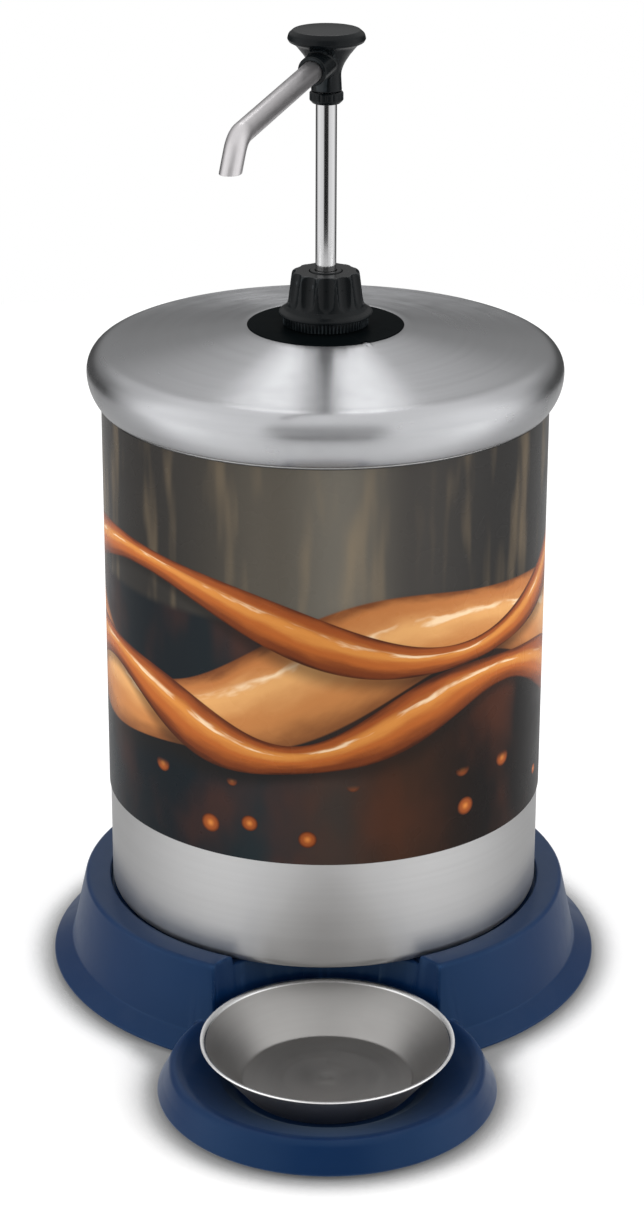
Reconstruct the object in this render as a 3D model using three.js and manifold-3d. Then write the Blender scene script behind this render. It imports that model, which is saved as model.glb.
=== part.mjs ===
// A countertop syrup dispenser: a steel can with a lift-off lid and a hand pump,
// standing in a moulded base that has a round lobe in front for a drip dish.
// Millimetres, +Z up. The can's axis is the pump's axis, and the dish is towards -Y.
import * as THREE from "three";
import { mergeVertices } from "three/addons/utils/BufferGeometryUtils.js";
import Module from "manifold-3d";

const wasm = await Module();
wasm.setup();

// How finely round pieces are drawn, all multiples of four
const largeSides = 48;
const pumpSides = 24;
const smallSides = 12;
const tubeSides = 12;
const arcSteps = 4;

const degree = Math.PI / 180;

// Fits that every piece shares
const fitGap = 0.3;
const cutOverrun = 5;
const weldDistance = 0.0001;

// Can
const canRadius = 114.3;
const canHeight = 297.6;
const canWall = 1;
const canCorner = 6;
const canBeadHeight = 4;
const canBeadProud = 0.7;

// Base shell: the round pedestal that the can stands in
const baseStand = 1.5;
const baseWall = 3;
const seatHeight = 42;
const seatDepth = 4.3;
const seatPlay = 1.1;
const deckWidth = 14;
const deckRound = 2;
const wallLean = 7.2;
const wallStep = 1.1;
const flangeHeight = 8.5;
const flangeReach = 9.4;
const flangeEdge = 1.2;
const flangeCoveShares = [0.5, 0.38];
const ribCount = 8;
const ribThickness = 2.4;
const ribHeight = 4;
const ribHubRadius = 18;

// Base shell: the lobe for the drip dish
const dishSetForward = 46.4;
const pocketPlay = 9.6;
const pocketDraft = 4.4;
const lobeRim = 11.9;
const lobeEdge = 1.7;
const ridgeHeight = 17;
const ridgeReach = 3.1;
const ridgeSoftShares = [0.86, 0.94];
const lobeSlopeShares = [[0, 0], [0.31, 0.15], [0.66, 0.62], [1, 1]];
const recessFloor = 5.4;
const recessPlay = 2.5;
const recessSlopeRun = 7.5;
const recessSlopeRise = 5;

// Feet
const footRadius = 9;
const footStemRadius = 2.4;
const footStemHeight = 6;
const footBossRadius = 7.4;
const footInset = 21.1;
const lobeFootInset = 15.3;
const footSpread = 45 * degree;
const lobeFootSpread = 40 * degree;

// Drip dish
const dishRadius = 63.8;
const dishFloorRadius = 44;
const dishHeight = 24.3;
const dishWall = 1;
const dishLip = 1.8;
const dishCorner = 2.4;

// Label wrap
const labelThickness = 0.4;
const labelFootMargin = 60.7;
const labelHeadMargin = 1.4;

// Lid
const lidWall = 1;
const lidEdgePlay = 1.2;
const lidBulge = 5.6;
const lidSkirt = 15.6;
const lidShoulderRise = 11.7;
const lidShoulderRun = 10.5;
const lidConeRise = 10.7;
const lidHoleRadius = 40;
const lidKeyWidth = 3;
const lidKeyReach = 2;
const lidKeyTurn = 30 * degree;

// Adapter that closes the lid's hole and carries the pump
const adapterTopProud = 0.2;
const adapterFlangeReach = 7;
const adapterFlange = 2.5;
const adapterPlate = 4;
const neckWall = 2.4;
const neckHeight = 15.1;
const adapterGasketThickness = 1.2;

// Clamp ring and locking collar
const clampRingHeight = 5.1;
const clampRingWall = 5.2;
const knurlDepth = 0.5;
const knurlCount = 40;
const collarSkirtReach = 7.15;
const collarSkirtHeight = 2.9;
const collarSkirtSlope = 1.8;
const collarWall = 2.9;
const collarTaper = 1.4;
const collarBodyHeight = 15;
const collarShoulder = 4.2;
const fluteCount = 12;
const fluteDepth = 1.1;
const fluteRadius = 6.2;
const fluteMargin = 3.5;

// Pump cylinder, its foot valve and the tube to the bottom of the can
const cylinderBore = 12.2;
const cylinderWall = 1.4;
const cylinderLength = 156.6;
const cylinderFlange = 2;
const cylinderFlangeReach = 2.2;
const cylinderGasketThickness = 1;
const valveFlange = 2.5;
const valveSpigot = 7.5;
const valveBore = 2.6;
const intakeBallRadius = 4.5;
const ballPlay = 0.6;
const barbRadius = 4.2;
const barbLength = 16;
const dipTubeWall = 1.5;
const dipTubeFloorGap = 5;
const dipTubeMouthSlope = 3;

// Guide bush and wiper
const bushFlange = 2.1;
const bushWall = 2.6;
const bushHeight = 9.3;
const bushChamfer = 0.65;
const wiperHeight = 1.6;
const wiperSection = 1.3;
const wiperDepth = 3;

// Piston
const pistonHeight = 20;
const pistonTopClearance = 19.6;
const pistonSlack = 0.8;
const pistonSealHeight = 3;
const pistonSealSection = 2.2;
const pistonPocketHeight = 6.2;
const pistonFloor = 5;
const pistonSocket = 8.8;
const pistonBore = 2.3;
const dischargeBallRadius = 3.6;

// Return spring
const springRadius = 9;
const springWireRadius = 0.8;
const springTurns = 10;
const springStepsPerTurn = 8;
const springWireSides = 5;

// Plunger tube, head and spout
const tubeRadius = 5.3;
const tubeWall = 1;
const plungerStroke = 84;
const headTravelGap = 1.3;
const headNutRadius = 8.5;
const headNutHeight = 6;
const headNutTaper = 1.6;
const headSleeveRadius = 7.7;
const headWaistRadius = 7.2;
const headThroatRadius = 11.6;
const knobRadius = 19.5;
const knobUnderRadius = 15.6;
const knobShoulder = 4;
const knobCrown = 0.6;
const knobCrownShares = [0.5, 0.75];
const headThroatShares = [0.4, 0.5];
const headSocketDepth = 9;
const headWaistHeight = 9.2;
const headThroatHeight = 8.6;
const knobUnderHeight = 5;
const knobRimHeight = 3;
const knobTopHeight = 4.7;
const spoutSwing = 20 * degree;
const spoutAxisHeight = 15.6;
const spoutRadius = 5.3;
const spoutWall = 1;
const spoutStart = 3.6;
const spoutSlope = 5.67 * degree;
const spoutReach = 124.3;
const spoutTipLength = 17.8;
const spoutTipRake = 32 * degree;
const spoutBendRadius = 14;
const socketWall = 1.8;
const socketReach = 22;

// Sizes that follow from those
const seatRadius = canRadius + seatPlay;
const deckRadius = seatRadius + deckWidth;
const deckHeight = seatHeight + seatDepth;
const wallFootRadius = deckRadius + wallLean;
const flangeTopRadius = wallFootRadius + wallStep;
const flangeTopHeight = baseStand + flangeHeight;
const baseRadius = flangeTopRadius + flangeReach;
const lobeOffset = canRadius + dishSetForward;
const pocketRadius = dishRadius + pocketPlay;
const lobeRadius = pocketRadius + lobeRim;
const recessRadius = dishFloorRadius + recessPlay;
const canBottom = seatHeight + fitGap;
const canTop = canBottom + canHeight;
const dishBottom = recessFloor + fitGap;
const neckBore = cylinderBore + cylinderWall + fitGap;
const neckRadius = neckBore + neckWall;
const tubeBore = tubeRadius + fitGap;

// Finishes, with colours from the photograph
const finishes = {
  navyPlastic: { color: 0x1f3f6b, roughness: 0.42, metalness: 0 },
  blackPlastic: { color: 0x17181a, roughness: 0.4, metalness: 0 },
  brushedSteel: { color: 0xb9bcc0, roughness: 0.32, metalness: 1 },
  polishedSteel: { color: 0xd6d8da, roughness: 0.14, metalness: 1 },
  labelPaper: { color: 0x6f6a68, roughness: 0.5, metalness: 0 },
  rubber: { color: 0x232325, roughness: 0.8, metalness: 0 },
  whitePlastic: { color: 0xe4e4de, roughness: 0.45, metalness: 0 },
};

const materials = Object.fromEntries(
  Object.entries(finishes).map(([name, look]) => [name, new THREE.MeshStandardMaterial(look)]),
);

// A closed geometry as a solid that can be joined and cut
function asSolid(shape) {
  if (shape instanceof wasm.Manifold) {
    return shape;
  }
  const loose = shape.index ? shape.toNonIndexed() : shape.clone();
  const bare = new THREE.BufferGeometry();
  bare.setAttribute("position", loose.getAttribute("position"));
  const merged = mergeVertices(bare, weldDistance);
  const corners = merged.index.array;
  const faces = [];
  for (let i = 0; i < corners.length; i += 3) {
    const [a, b, c] = corners.slice(i, i + 3);
    if (a !== b && b !== c && c !== a) {
      faces.push(a, b, c);
    }
  }
  const vertProperties = merged.attributes.position.array;
  const triVerts = new Uint32Array(faces);
  return new wasm.Manifold(new wasm.Mesh({ numProp: 3, vertProperties, triVerts }));
}

// A solid as a geometry that a mesh can hold
function asGeometry(shape) {
  const { vertProperties, triVerts } = asSolid(shape).getMesh();
  const indexed = new THREE.BufferGeometry();
  indexed.setAttribute("position", new THREE.BufferAttribute(vertProperties, 3));
  indexed.setIndex(new THREE.BufferAttribute(triVerts, 1));
  const flat = indexed.toNonIndexed();
  flat.computeVertexNormals();
  return flat;
}

const joined = (...shapes) => shapes.map(asSolid).reduce((sum, next) => sum.add(next));
const cut = (body, ...tools) => tools.map(asSolid).reduce((left, tool) => left.subtract(tool), asSolid(body));
const common = (a, b) => asSolid(a).intersect(asSolid(b));

// A solid turned about Z from [radius, height] points; the profile closes on itself or ends on the axis
function turned(profile, sides) {
  const area = profile.reduce((sum, [r, z], i) => {
    const [nextR, nextZ] = profile[(i + 1) % profile.length];
    return sum + r * nextZ - nextR * z;
  }, 0);
  const ordered = area > 0 ? [...profile] : [...profile].reverse();
  const onAxis = ordered.filter(([r]) => r === 0).length;
  if (onAxis === 0) {
    ordered.push(ordered[0]);
  } else {
    while (ordered[0][0] !== 0 || ordered[ordered.length - 1][0] !== 0) {
      ordered.push(ordered.shift());
    }
  }
  const points = ordered.map(([r, z]) => new THREE.Vector2(r, z));
  return new THREE.LatheGeometry(points, sides).rotateX(Math.PI / 2);
}

const rod = (radius, low, high, sides) => turned([[0, low], [radius, low], [radius, high], [0, high]], sides);
const ring = (bore, radius, low, high, sides) =>
  turned([[bore, low], [radius, low], [radius, high], [bore, high]], sides);

// Points on an arc of an ellipse, from one angle to another
function arc(centre, radii, from, to, steps = arcSteps) {
  return Array.from({ length: steps + 1 }, (_, i) => {
    const angle = from + ((to - from) * i) / steps;
    return [centre[0] + radii[0] * Math.cos(angle), centre[1] + radii[1] * Math.sin(angle)];
  });
}

// The outline moved sideways by a wall's thickness, to the right of its direction
function offset(outline, wall) {
  const normals = outline.slice(1).map(([r, z], i) => {
    const along = new THREE.Vector2(r - outline[i][0], z - outline[i][1]).normalize();
    return new THREE.Vector2(along.y, -along.x);
  });
  return outline.map(([r, z], i) => {
    const before = normals[Math.max(i - 1, 0)];
    const after = normals[Math.min(i, normals.length - 1)];
    const mitre = wall / (1 + before.dot(after));
    const moved = r + (before.x + after.x) * mitre;
    return [r === 0 ? 0 : moved, z + (before.y + after.y) * mitre];
  });
}

// A pressed sheet: an outline and its other face, closed round the edges
const sheet = (outline, wall, sides) => turned([...outline, ...offset(outline, wall).reverse()], sides);

// The height of an outline at a radius
function heightAt(outline, radius) {
  const i = outline.findIndex(([r], k) => k > 0 && (r - radius) * (outline[k - 1][0] - radius) <= 0);
  const [r0, z0] = outline[i - 1];
  const [r1, z1] = outline[i];
  return z0 + ((z1 - z0) * (radius - r0)) / (r1 - r0);
}

// The pedestal's skin from the middle of the seat, over the deck and down to the ground edge
function pedestalOutline() {
  const [coveOut, coveDown] = flangeCoveShares;
  return [
    [0, seatHeight],
    [seatRadius, seatHeight],
    [seatRadius, deckHeight],
    [deckRadius - deckRound, deckHeight],
    [deckRadius, deckHeight - deckRound],
    [wallFootRadius, flangeTopHeight + wallStep],
    [flangeTopRadius, flangeTopHeight],
    [flangeTopRadius + flangeReach * coveOut, flangeTopHeight - flangeHeight * coveDown],
    [baseRadius, baseStand + flangeEdge],
    [baseRadius, baseStand],
  ];
}

// The lobe's skin from the middle of the dish recess, over its ridge and down to the ground edge
function lobeOutline() {
  const slopeEnd = recessRadius + recessSlopeRun;
  const slopeTop = recessFloor + recessSlopeRise;
  const ridgeRadius = pocketRadius + ridgeReach;
  const edgeHeight = baseStand + lobeEdge;
  const between = (from, to, share) => from + (to - from) * share;
  const [softOut, softUp] = ridgeSoftShares;
  return [
    [0, recessFloor],
    [recessRadius, recessFloor],
    [slopeEnd, slopeTop],
    [between(slopeEnd, ridgeRadius, softOut), between(slopeTop, ridgeHeight, softUp)],
    ...lobeSlopeShares.map(([out, down]) => [
      between(ridgeRadius, lobeRadius, out),
      between(ridgeHeight, edgeHeight, down),
    ]),
    [lobeRadius, baseStand],
  ];
}

// A skin's outline moved in by a depth and closed at a level below it
function filledBelow(outline, depth, level) {
  const inner = offset(outline, depth);
  const lowest = inner[inner.length - 1];
  return [...inner, [lowest[0], level], [0, level]];
}

const atLobe = (geometry) => geometry.translate(0, -lobeOffset, 0);
const turnedAtLobe = (profile) => atLobe(turned(profile, largeSides));

// What the dish's pocket takes out of the pedestal, narrower towards the ground
function pocketCut(depth, level) {
  const lean = pocketDraft / (deckHeight - ridgeHeight);
  const low = level - cutOverrun;
  const high = deckHeight + cutOverrun;
  const radiusAt = (height) => pocketRadius + depth - (deckHeight - height) * lean;
  return turnedAtLobe([[0, low], [radiusAt(low), low], [radiusAt(high), high], [0, high]]);
}

// The base's solid at a depth under its skin, down to a level
function baseCore(depth, level) {
  const pedestal = turned(filledBelow(pedestalOutline(), depth, level), largeSides);
  const lobe = turnedAtLobe(filledBelow(lobeOutline(), depth, level));
  return joined(cut(pedestal, pocketCut(depth, level)), lobe);
}

// Where each foot stands
function footPlaces() {
  const ringRadius = baseRadius - footInset;
  const pedestalTurns = [0, 1, 2, 3].map((i) => footSpread + (i * Math.PI) / 2);
  const pedestalFeet = pedestalTurns.map((turn) => [
    ringRadius * Math.cos(turn),
    ringRadius * Math.sin(turn),
  ]);
  const lobeRing = lobeRadius - lobeFootInset;
  const lobeFeet = [-lobeFootSpread, lobeFootSpread].map((turn) => [
    lobeRing * Math.sin(turn),
    -lobeOffset - lobeRing * Math.cos(turn),
  ]);
  return [...pedestalFeet, ...lobeFeet];
}

// Ribs that stiffen the seat from below, on a hub in the middle
function seatRibs() {
  const low = seatHeight - baseWall - ribHeight;
  const height = deckHeight - low;
  const spokes = Array.from({ length: ribCount / 2 }, (_, i) =>
    new THREE.BoxGeometry(wallFootRadius * 2, ribThickness, height)
      .rotateZ((i * Math.PI * 2) / ribCount + Math.PI / ribCount)
      .translate(0, 0, low + height / 2),
  );
  const hub = rod(ribHubRadius + ribThickness, low, deckHeight, pumpSides);
  const hubBore = rod(ribHubRadius, low - cutOverrun, seatHeight - baseWall, pumpSides);
  return cut(joined(hub, ...spokes), hubBore);
}

function baseShell() {
  const skin = baseCore(0, baseStand);
  const hollow = baseCore(baseWall, baseStand - cutOverrun);
  const bosses = footPlaces().map(([x, y]) =>
    rod(footBossRadius, baseStand, deckHeight, smallSides).translate(x, y, 0),
  );
  const stemTop = baseStand + footStemHeight + fitGap;
  const stemBores = footPlaces().map(([x, y]) =>
    rod(footStemRadius + fitGap, baseStand - cutOverrun, stemTop, smallSides).translate(x, y, 0),
  );
  const inside = common(joined(seatRibs(), ...bosses), baseCore(baseWall / 2, baseStand));
  return cut(joined(cut(skin, hollow), inside), ...stemBores);
}

function foot() {
  const discTop = baseStand - fitGap;
  return turned(
    [
      [0, 0],
      [footRadius, 0],
      [footRadius, discTop],
      [footStemRadius, discTop],
      [footStemRadius, baseStand + footStemHeight],
      [0, baseStand + footStemHeight],
    ],
    smallSides,
  );
}

function dripDish() {
  const lipStart = dishRadius - dishLip;
  const outline = [
    [0, dishBottom],
    [dishFloorRadius - dishCorner, dishBottom],
    [dishFloorRadius + dishCorner / 2, dishBottom + dishCorner],
    [lipStart, dishBottom + dishHeight - dishWall],
    [dishRadius, dishBottom + dishHeight - dishWall],
  ];
  return atLobe(sheet(outline, -dishWall, largeSides));
}

function canister() {
  const beadFoot = canTop - canBeadHeight;
  const outline = [
    [0, canBottom],
    ...arc([canRadius - canCorner, canBottom + canCorner], [canCorner, canCorner], -Math.PI / 2, 0),
    [canRadius, beadFoot - canBeadProud],
    [canRadius + canBeadProud, beadFoot],
    [canRadius + canBeadProud, canTop],
  ];
  return sheet(outline, -canWall, largeSides);
}

// The lid's outer face, from its bottom edge up to the edge of its hole, above its bottom edge
function lidOutline() {
  const edge = canRadius + lidEdgePlay + lidWall;
  const widest = edge + lidBulge;
  const curl = (lidBulge * lidBulge + lidSkirt * lidSkirt) / (2 * lidBulge);
  const curlTurn = Math.asin(lidSkirt / curl);
  const skirt = arc([widest - curl, lidSkirt], [curl, curl], -curlTurn, 0);
  const shoulderRadii = [lidShoulderRun, lidShoulderRise];
  const shoulder = arc([widest - lidShoulderRun, lidSkirt], shoulderRadii, 0, Math.PI / 2);
  const holeHeight = lidSkirt + lidShoulderRise + lidConeRise;
  return [...skirt, ...shoulder.slice(1), [lidHoleRadius, holeHeight]];
}

// The lid rests on the can's rim, so its place follows from its inner face there
const lidInner = offset(lidOutline(), -lidWall);
const lidBottom = canTop + fitGap - heightAt(lidInner.slice(arcSteps), canRadius + canBeadProud);
const raised = (outline) => outline.map(([r, z]) => [r, z + lidBottom]);
const lidHoleTop = lidBottom + lidSkirt + lidShoulderRise + lidConeRise;
const lidHoleUnder = lidBottom + lidInner[lidInner.length - 1][1];

// Heights of the pieces stacked on the lid
const adapterTop = lidHoleTop + adapterTopProud;
const gasketRadius = lidHoleRadius + adapterFlangeReach;
const gasketTop = lidBottom + heightAt(lidInner, gasketRadius) - fitGap;
const flangeTop = gasketTop - adapterGasketThickness - fitGap;
const neckTop = adapterTop + neckHeight;
const clampTop = adapterTop + fitGap + clampRingHeight;
const collarBottom = clampTop + fitGap;
const cylinderTop = neckTop + fitGap + cylinderGasketThickness + fitGap + cylinderFlange;
const cylinderFoot = cylinderTop - cylinderLength;
const bushBottom = cylinderTop + fitGap;
const bushFlangeTop = bushBottom + bushFlange;
const bushTop = bushBottom + bushHeight;
const headBottom = bushTop + headTravelGap + plungerStroke;
const headSleeveBottom = headBottom + headNutHeight + fitGap;
const pistonTop = bushBottom - pistonTopClearance;
const pistonBottom = pistonTop - pistonHeight;
const valveTop = cylinderFoot + valveSpigot;
const plungerBottom = pistonTop - pistonSocket + fitGap;

// A small key on one side of the lid's hole stops the adapter from turning
function lidKey(width, reach, low, high) {
  const length = reach + cutOverrun;
  const centre = lidHoleRadius - reach + length / 2;
  return new THREE.BoxGeometry(width, length, high - low)
    .translate(0, -centre, (low + high) / 2)
    .rotateZ(lidKeyTurn);
}

function lid() {
  const outer = raised(lidOutline());
  const dome = sheet(outer, -lidWall, largeSides);
  const key = lidKey(lidKeyWidth, lidKeyReach, lidHoleUnder, lidHoleTop);
  const keyTip = lidHoleRadius - lidKeyReach;
  const keyRing = ring(keyTip, lidHoleRadius + lidWall, lidHoleUnder, lidHoleTop, largeSides);
  return joined(dome, common(key, keyRing));
}

function lidAdapter() {
  const plugRadius = lidHoleRadius - fitGap;
  const plateUnder = adapterTop - adapterPlate;
  const body = turned(
    [
      [neckBore, plateUnder],
      [plugRadius, flangeTop - adapterFlange],
      [gasketRadius, flangeTop - adapterFlange],
      [gasketRadius, flangeTop],
      [plugRadius, flangeTop],
      [plugRadius, adapterTop],
      [neckRadius, adapterTop],
      [neckRadius, neckTop],
      [neckBore, neckTop],
    ],
    largeSides,
  );
  const keywayWidth = lidKeyWidth + 2 * fitGap;
  const keyway = lidKey(keywayWidth, lidKeyReach + fitGap, lidHoleUnder - fitGap, adapterTop + cutOverrun);
  return cut(body, keyway);
}

const adapterGasket = () =>
  ring(lidHoleRadius + fitGap, gasketRadius, gasketTop - adapterGasketThickness, gasketTop, largeSides);

// A ring with fine vertical teeth round its outside
function clampRing() {
  const bore = neckRadius + fitGap;
  const crest = bore + clampRingWall;
  const teeth = Array.from({ length: knurlCount * 2 }, (_, i) => {
    const angle = (i * Math.PI) / knurlCount;
    const radius = crest - (i % 2) * knurlDepth;
    return new THREE.Vector2(radius * Math.cos(angle), radius * Math.sin(angle));
  });
  const outline = new THREE.Shape(teeth);
  outline.holes.push(new THREE.Path().absarc(0, 0, bore, 0, Math.PI * 2, true));
  const settings = { depth: clampRingHeight, bevelEnabled: false, curveSegments: pumpSides };
  return new THREE.ExtrudeGeometry(outline, settings).translate(0, 0, adapterTop + fitGap);
}

// The fluted cap that locks the pump to the adapter by a quarter turn
function lockingCollar() {
  const bore = neckRadius + fitGap;
  const footRadiusOfBody = bore + collarWall;
  const shoulderRadius = footRadiusOfBody - collarTaper;
  const skirtTop = collarBottom + collarSkirtHeight;
  const bodyTop = skirtTop + collarBodyHeight;
  const roofUnder = bushFlangeTop + fitGap;
  const roofBore = tubeBore + bushWall + fitGap;
  const shoulder = arc(
    [shoulderRadius - collarShoulder, bodyTop],
    [collarShoulder, collarShoulder],
    0,
    Math.PI / 2,
    arcSteps - 1,
  );
  const body = turned(
    [
      [bore, collarBottom],
      [bore + collarSkirtReach, collarBottom],
      [bore + collarSkirtReach, collarBottom + collarSkirtHeight - collarSkirtSlope],
      [footRadiusOfBody + collarSkirtSlope, skirtTop],
      [footRadiusOfBody, skirtTop + collarSkirtSlope],
      ...shoulder,
      [roofBore, bodyTop + collarShoulder],
      [roofBore, roofUnder],
      [bore, roofUnder],
    ],
    pumpSides,
  );
  const lean = Math.atan2(collarTaper, collarBodyHeight);
  const fluteLow = skirtTop + fluteMargin;
  const flute = rod(fluteRadius, fluteLow, bodyTop + collarShoulder + cutOverrun, smallSides)
    .translate(0, 0, -fluteLow)
    .rotateX(-lean)
    .translate(0, -(footRadiusOfBody + fluteRadius - fluteDepth), fluteLow);
  const flutes = Array.from({ length: fluteCount }, (_, i) =>
    flute.clone().rotateZ((i * Math.PI * 2) / fluteCount),
  );
  return cut(body, ...flutes);
}

function guideBush() {
  const wiperTop = bushTop - wiperDepth;
  return turned(
    [
      [tubeBore, bushBottom],
      [cylinderBore + cylinderWall + cylinderFlangeReach, bushBottom],
      [cylinderBore + cylinderWall + cylinderFlangeReach, bushFlangeTop],
      [tubeBore + bushWall, bushFlangeTop],
      [tubeBore + bushWall, bushTop - bushChamfer],
      [tubeBore + bushWall - bushChamfer, bushTop],
      [tubeBore, bushTop],
      [tubeBore, wiperTop],
      [tubeBore + wiperSection + fitGap, wiperTop],
      [tubeBore + wiperSection + fitGap, wiperTop - wiperHeight - 2 * fitGap],
      [tubeBore, wiperTop - wiperHeight - 2 * fitGap],
    ],
    pumpSides,
  );
}

function wiperRing() {
  const top = bushTop - wiperDepth - fitGap;
  return ring(tubeBore, tubeBore + wiperSection, top - wiperHeight, top, pumpSides);
}

function pumpCylinder() {
  const radius = cylinderBore + cylinderWall;
  return turned(
    [
      [cylinderBore, cylinderFoot],
      [radius, cylinderFoot],
      [radius, cylinderTop - cylinderFlange],
      [radius + cylinderFlangeReach, cylinderTop - cylinderFlange],
      [radius + cylinderFlangeReach, cylinderTop],
      [cylinderBore, cylinderTop],
    ],
    pumpSides,
  );
}

function cylinderGasket() {
  const bottom = neckTop + fitGap;
  return ring(neckBore, neckRadius - fitGap, bottom, bottom + cylinderGasketThickness, pumpSides);
}

// The valve body in the cylinder's foot: a pocket for the ball over a bore that ends in a hose barb
function footValve() {
  const flangeTopHere = cylinderFoot - fitGap;
  const flangeUnder = flangeTopHere - valveFlange;
  const pocket = intakeBallRadius + ballPlay;
  const spigot = cylinderBore - fitGap;
  return turned(
    [
      [valveBore, flangeUnder - barbLength],
      [barbRadius, flangeUnder - barbLength],
      [barbRadius, flangeUnder],
      [cylinderBore + cylinderWall, flangeUnder],
      [cylinderBore + cylinderWall, flangeTopHere],
      [spigot, flangeTopHere],
      [spigot, valveTop],
      [pocket, valveTop],
      [pocket, valveTop - pocket],
      [valveBore, valveTop - pocket - intakeBallRadius],
    ],
    pumpSides,
  );
}

// A valve's ball, with its centre at a height
function ball(radius, height) {
  const sphere = new THREE.SphereGeometry(radius, smallSides, smallSides / 2);
  return sphere.rotateX(Math.PI / 2).translate(0, 0, height);
}

// A coned seat meets a ball on the circle where the cone is square to the ball's radius
function ballHeight(radius, pocketLow, pocket, bore, boreHeight) {
  const slope = Math.atan2(pocketLow - boreHeight, pocket - bore);
  return boreHeight - bore * Math.tan(slope) + (radius + fitGap) / Math.cos(slope);
}

function intakeBall() {
  const pocket = intakeBallRadius + ballPlay;
  const pocketLow = valveTop - pocket;
  const height = ballHeight(intakeBallRadius, pocketLow, pocket, valveBore, pocketLow - intakeBallRadius);
  return ball(intakeBallRadius, height);
}

function dipTube() {
  const bore = barbRadius + fitGap;
  const top = cylinderFoot - valveFlange - 2 * fitGap;
  const bottom = canBottom + canWall + dipTubeFloorGap;
  const tube = ring(bore, bore + dipTubeWall, bottom, top, tubeSides);
  const slope = Math.atan2(dipTubeMouthSlope, bore);
  const reach = bore + dipTubeWall + cutOverrun;
  const mouth = new THREE.BoxGeometry(2 * reach, 2 * reach, reach)
    .translate(0, 0, -reach / 2)
    .rotateX(slope)
    .translate(0, 0, bottom + dipTubeMouthSlope / 2);
  return cut(tube, mouth);
}

function piston() {
  const radius = cylinderBore - pistonSlack;
  const grooveTop = pistonBottom + pistonFloor + pistonSealHeight + 2 * fitGap;
  const grooveLow = pistonBottom + pistonFloor;
  const grooveRadius = cylinderBore - fitGap - pistonSealSection - fitGap;
  const pocketTop = pistonTop - pistonSocket;
  const pocket = dischargeBallRadius + ballPlay;
  return turned(
    [
      [pistonBore, pistonBottom],
      [radius, pistonBottom],
      [radius, grooveLow],
      [grooveRadius, grooveLow],
      [grooveRadius, grooveTop],
      [radius, grooveTop],
      [radius, pistonTop],
      [tubeBore, pistonTop],
      [tubeBore, pocketTop],
      [pocket, pocketTop],
      [pocket, pocketTop - pistonPocketHeight + pocket],
      [pistonBore, pocketTop - pistonPocketHeight],
    ],
    pumpSides,
  );
}

function pistonSeal() {
  const low = pistonBottom + pistonFloor + fitGap;
  const outer = cylinderBore - fitGap;
  return ring(outer - pistonSealSection, outer, low, low + pistonSealHeight, pumpSides);
}

function dischargeBall() {
  const pocket = dischargeBallRadius + ballPlay;
  const boreHeight = pistonTop - pistonSocket - pistonPocketHeight;
  const height = ballHeight(dischargeBallRadius, boreHeight + pocket, pocket, pistonBore, boreHeight);
  return ball(dischargeBallRadius, height);
}

// A path through given stations, with one section at each
class StationPath extends THREE.Curve {
  constructor(stations) {
    super();
    this.stations = stations;
  }

  getPoint(share, target = new THREE.Vector3()) {
    const place = share * (this.stations.length - 1);
    const first = Math.min(Math.floor(place), this.stations.length - 2);
    return target.lerpVectors(this.stations[first], this.stations[first + 1], place - first);
  }

  getPointAt(share, target) {
    return this.getPoint(share, target);
  }

  getTangentAt(share, target) {
    return this.getTangent(share, target);
  }
}

const circle = (radius, sides) =>
  Array.from({ length: sides }, (_, i) => {
    const angle = (i * Math.PI * 2) / sides;
    return new THREE.Vector2(radius * Math.cos(angle), radius * Math.sin(angle));
  });

// A tube or a wire along a path
function along(stations, radius, bore, sides) {
  const section = new THREE.Shape(circle(radius, sides));
  if (bore > 0) {
    section.holes.push(new THREE.Path(circle(bore, sides).reverse()));
  }
  const extrudePath = new StationPath(stations);
  return new THREE.ExtrudeGeometry(section, { extrudePath, steps: stations.length - 1, bevelEnabled: false });
}

// A compression spring: one open wire on a helix between the valve and the piston
function returnSpring() {
  const low = valveTop + fitGap + springWireRadius;
  const high = pistonBottom - fitGap - springWireRadius;
  const steps = springTurns * springStepsPerTurn;
  const stations = Array.from({ length: steps + 1 }, (_, i) => {
    const angle = (i * Math.PI * 2) / springStepsPerTurn;
    const height = low + ((high - low) * i) / steps;
    return new THREE.Vector3(springRadius * Math.cos(angle), springRadius * Math.sin(angle), height);
  });
  const nextTurn = stations.slice(springStepsPerTurn).map((point, i) => point.distanceTo(stations[i]));
  const leastGap = Math.min(...nextTurn) - 2 * springWireRadius;
  console.log("return_spring: least gap to itself", leastGap.toFixed(2), "mm");
  return along(stations, springWireRadius, 0, springWireSides);
}

const plungerTop = headSleeveBottom + headSocketDepth;
const plungerTube = () => ring(tubeRadius - tubeWall, tubeRadius, plungerBottom, plungerTop, pumpSides);

// The black nut under the head
function headNut() {
  return turned(
    [
      [tubeBore, headBottom],
      [headNutRadius - headNutTaper, headBottom],
      [headNutRadius, headBottom + headNutTaper],
      [headNutRadius, headBottom + headNutHeight - headNutTaper / 2],
      [headNutRadius - headNutTaper / 2, headBottom + headNutHeight],
      [tubeBore, headBottom + headNutHeight],
    ],
    pumpSides,
  );
}

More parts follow.
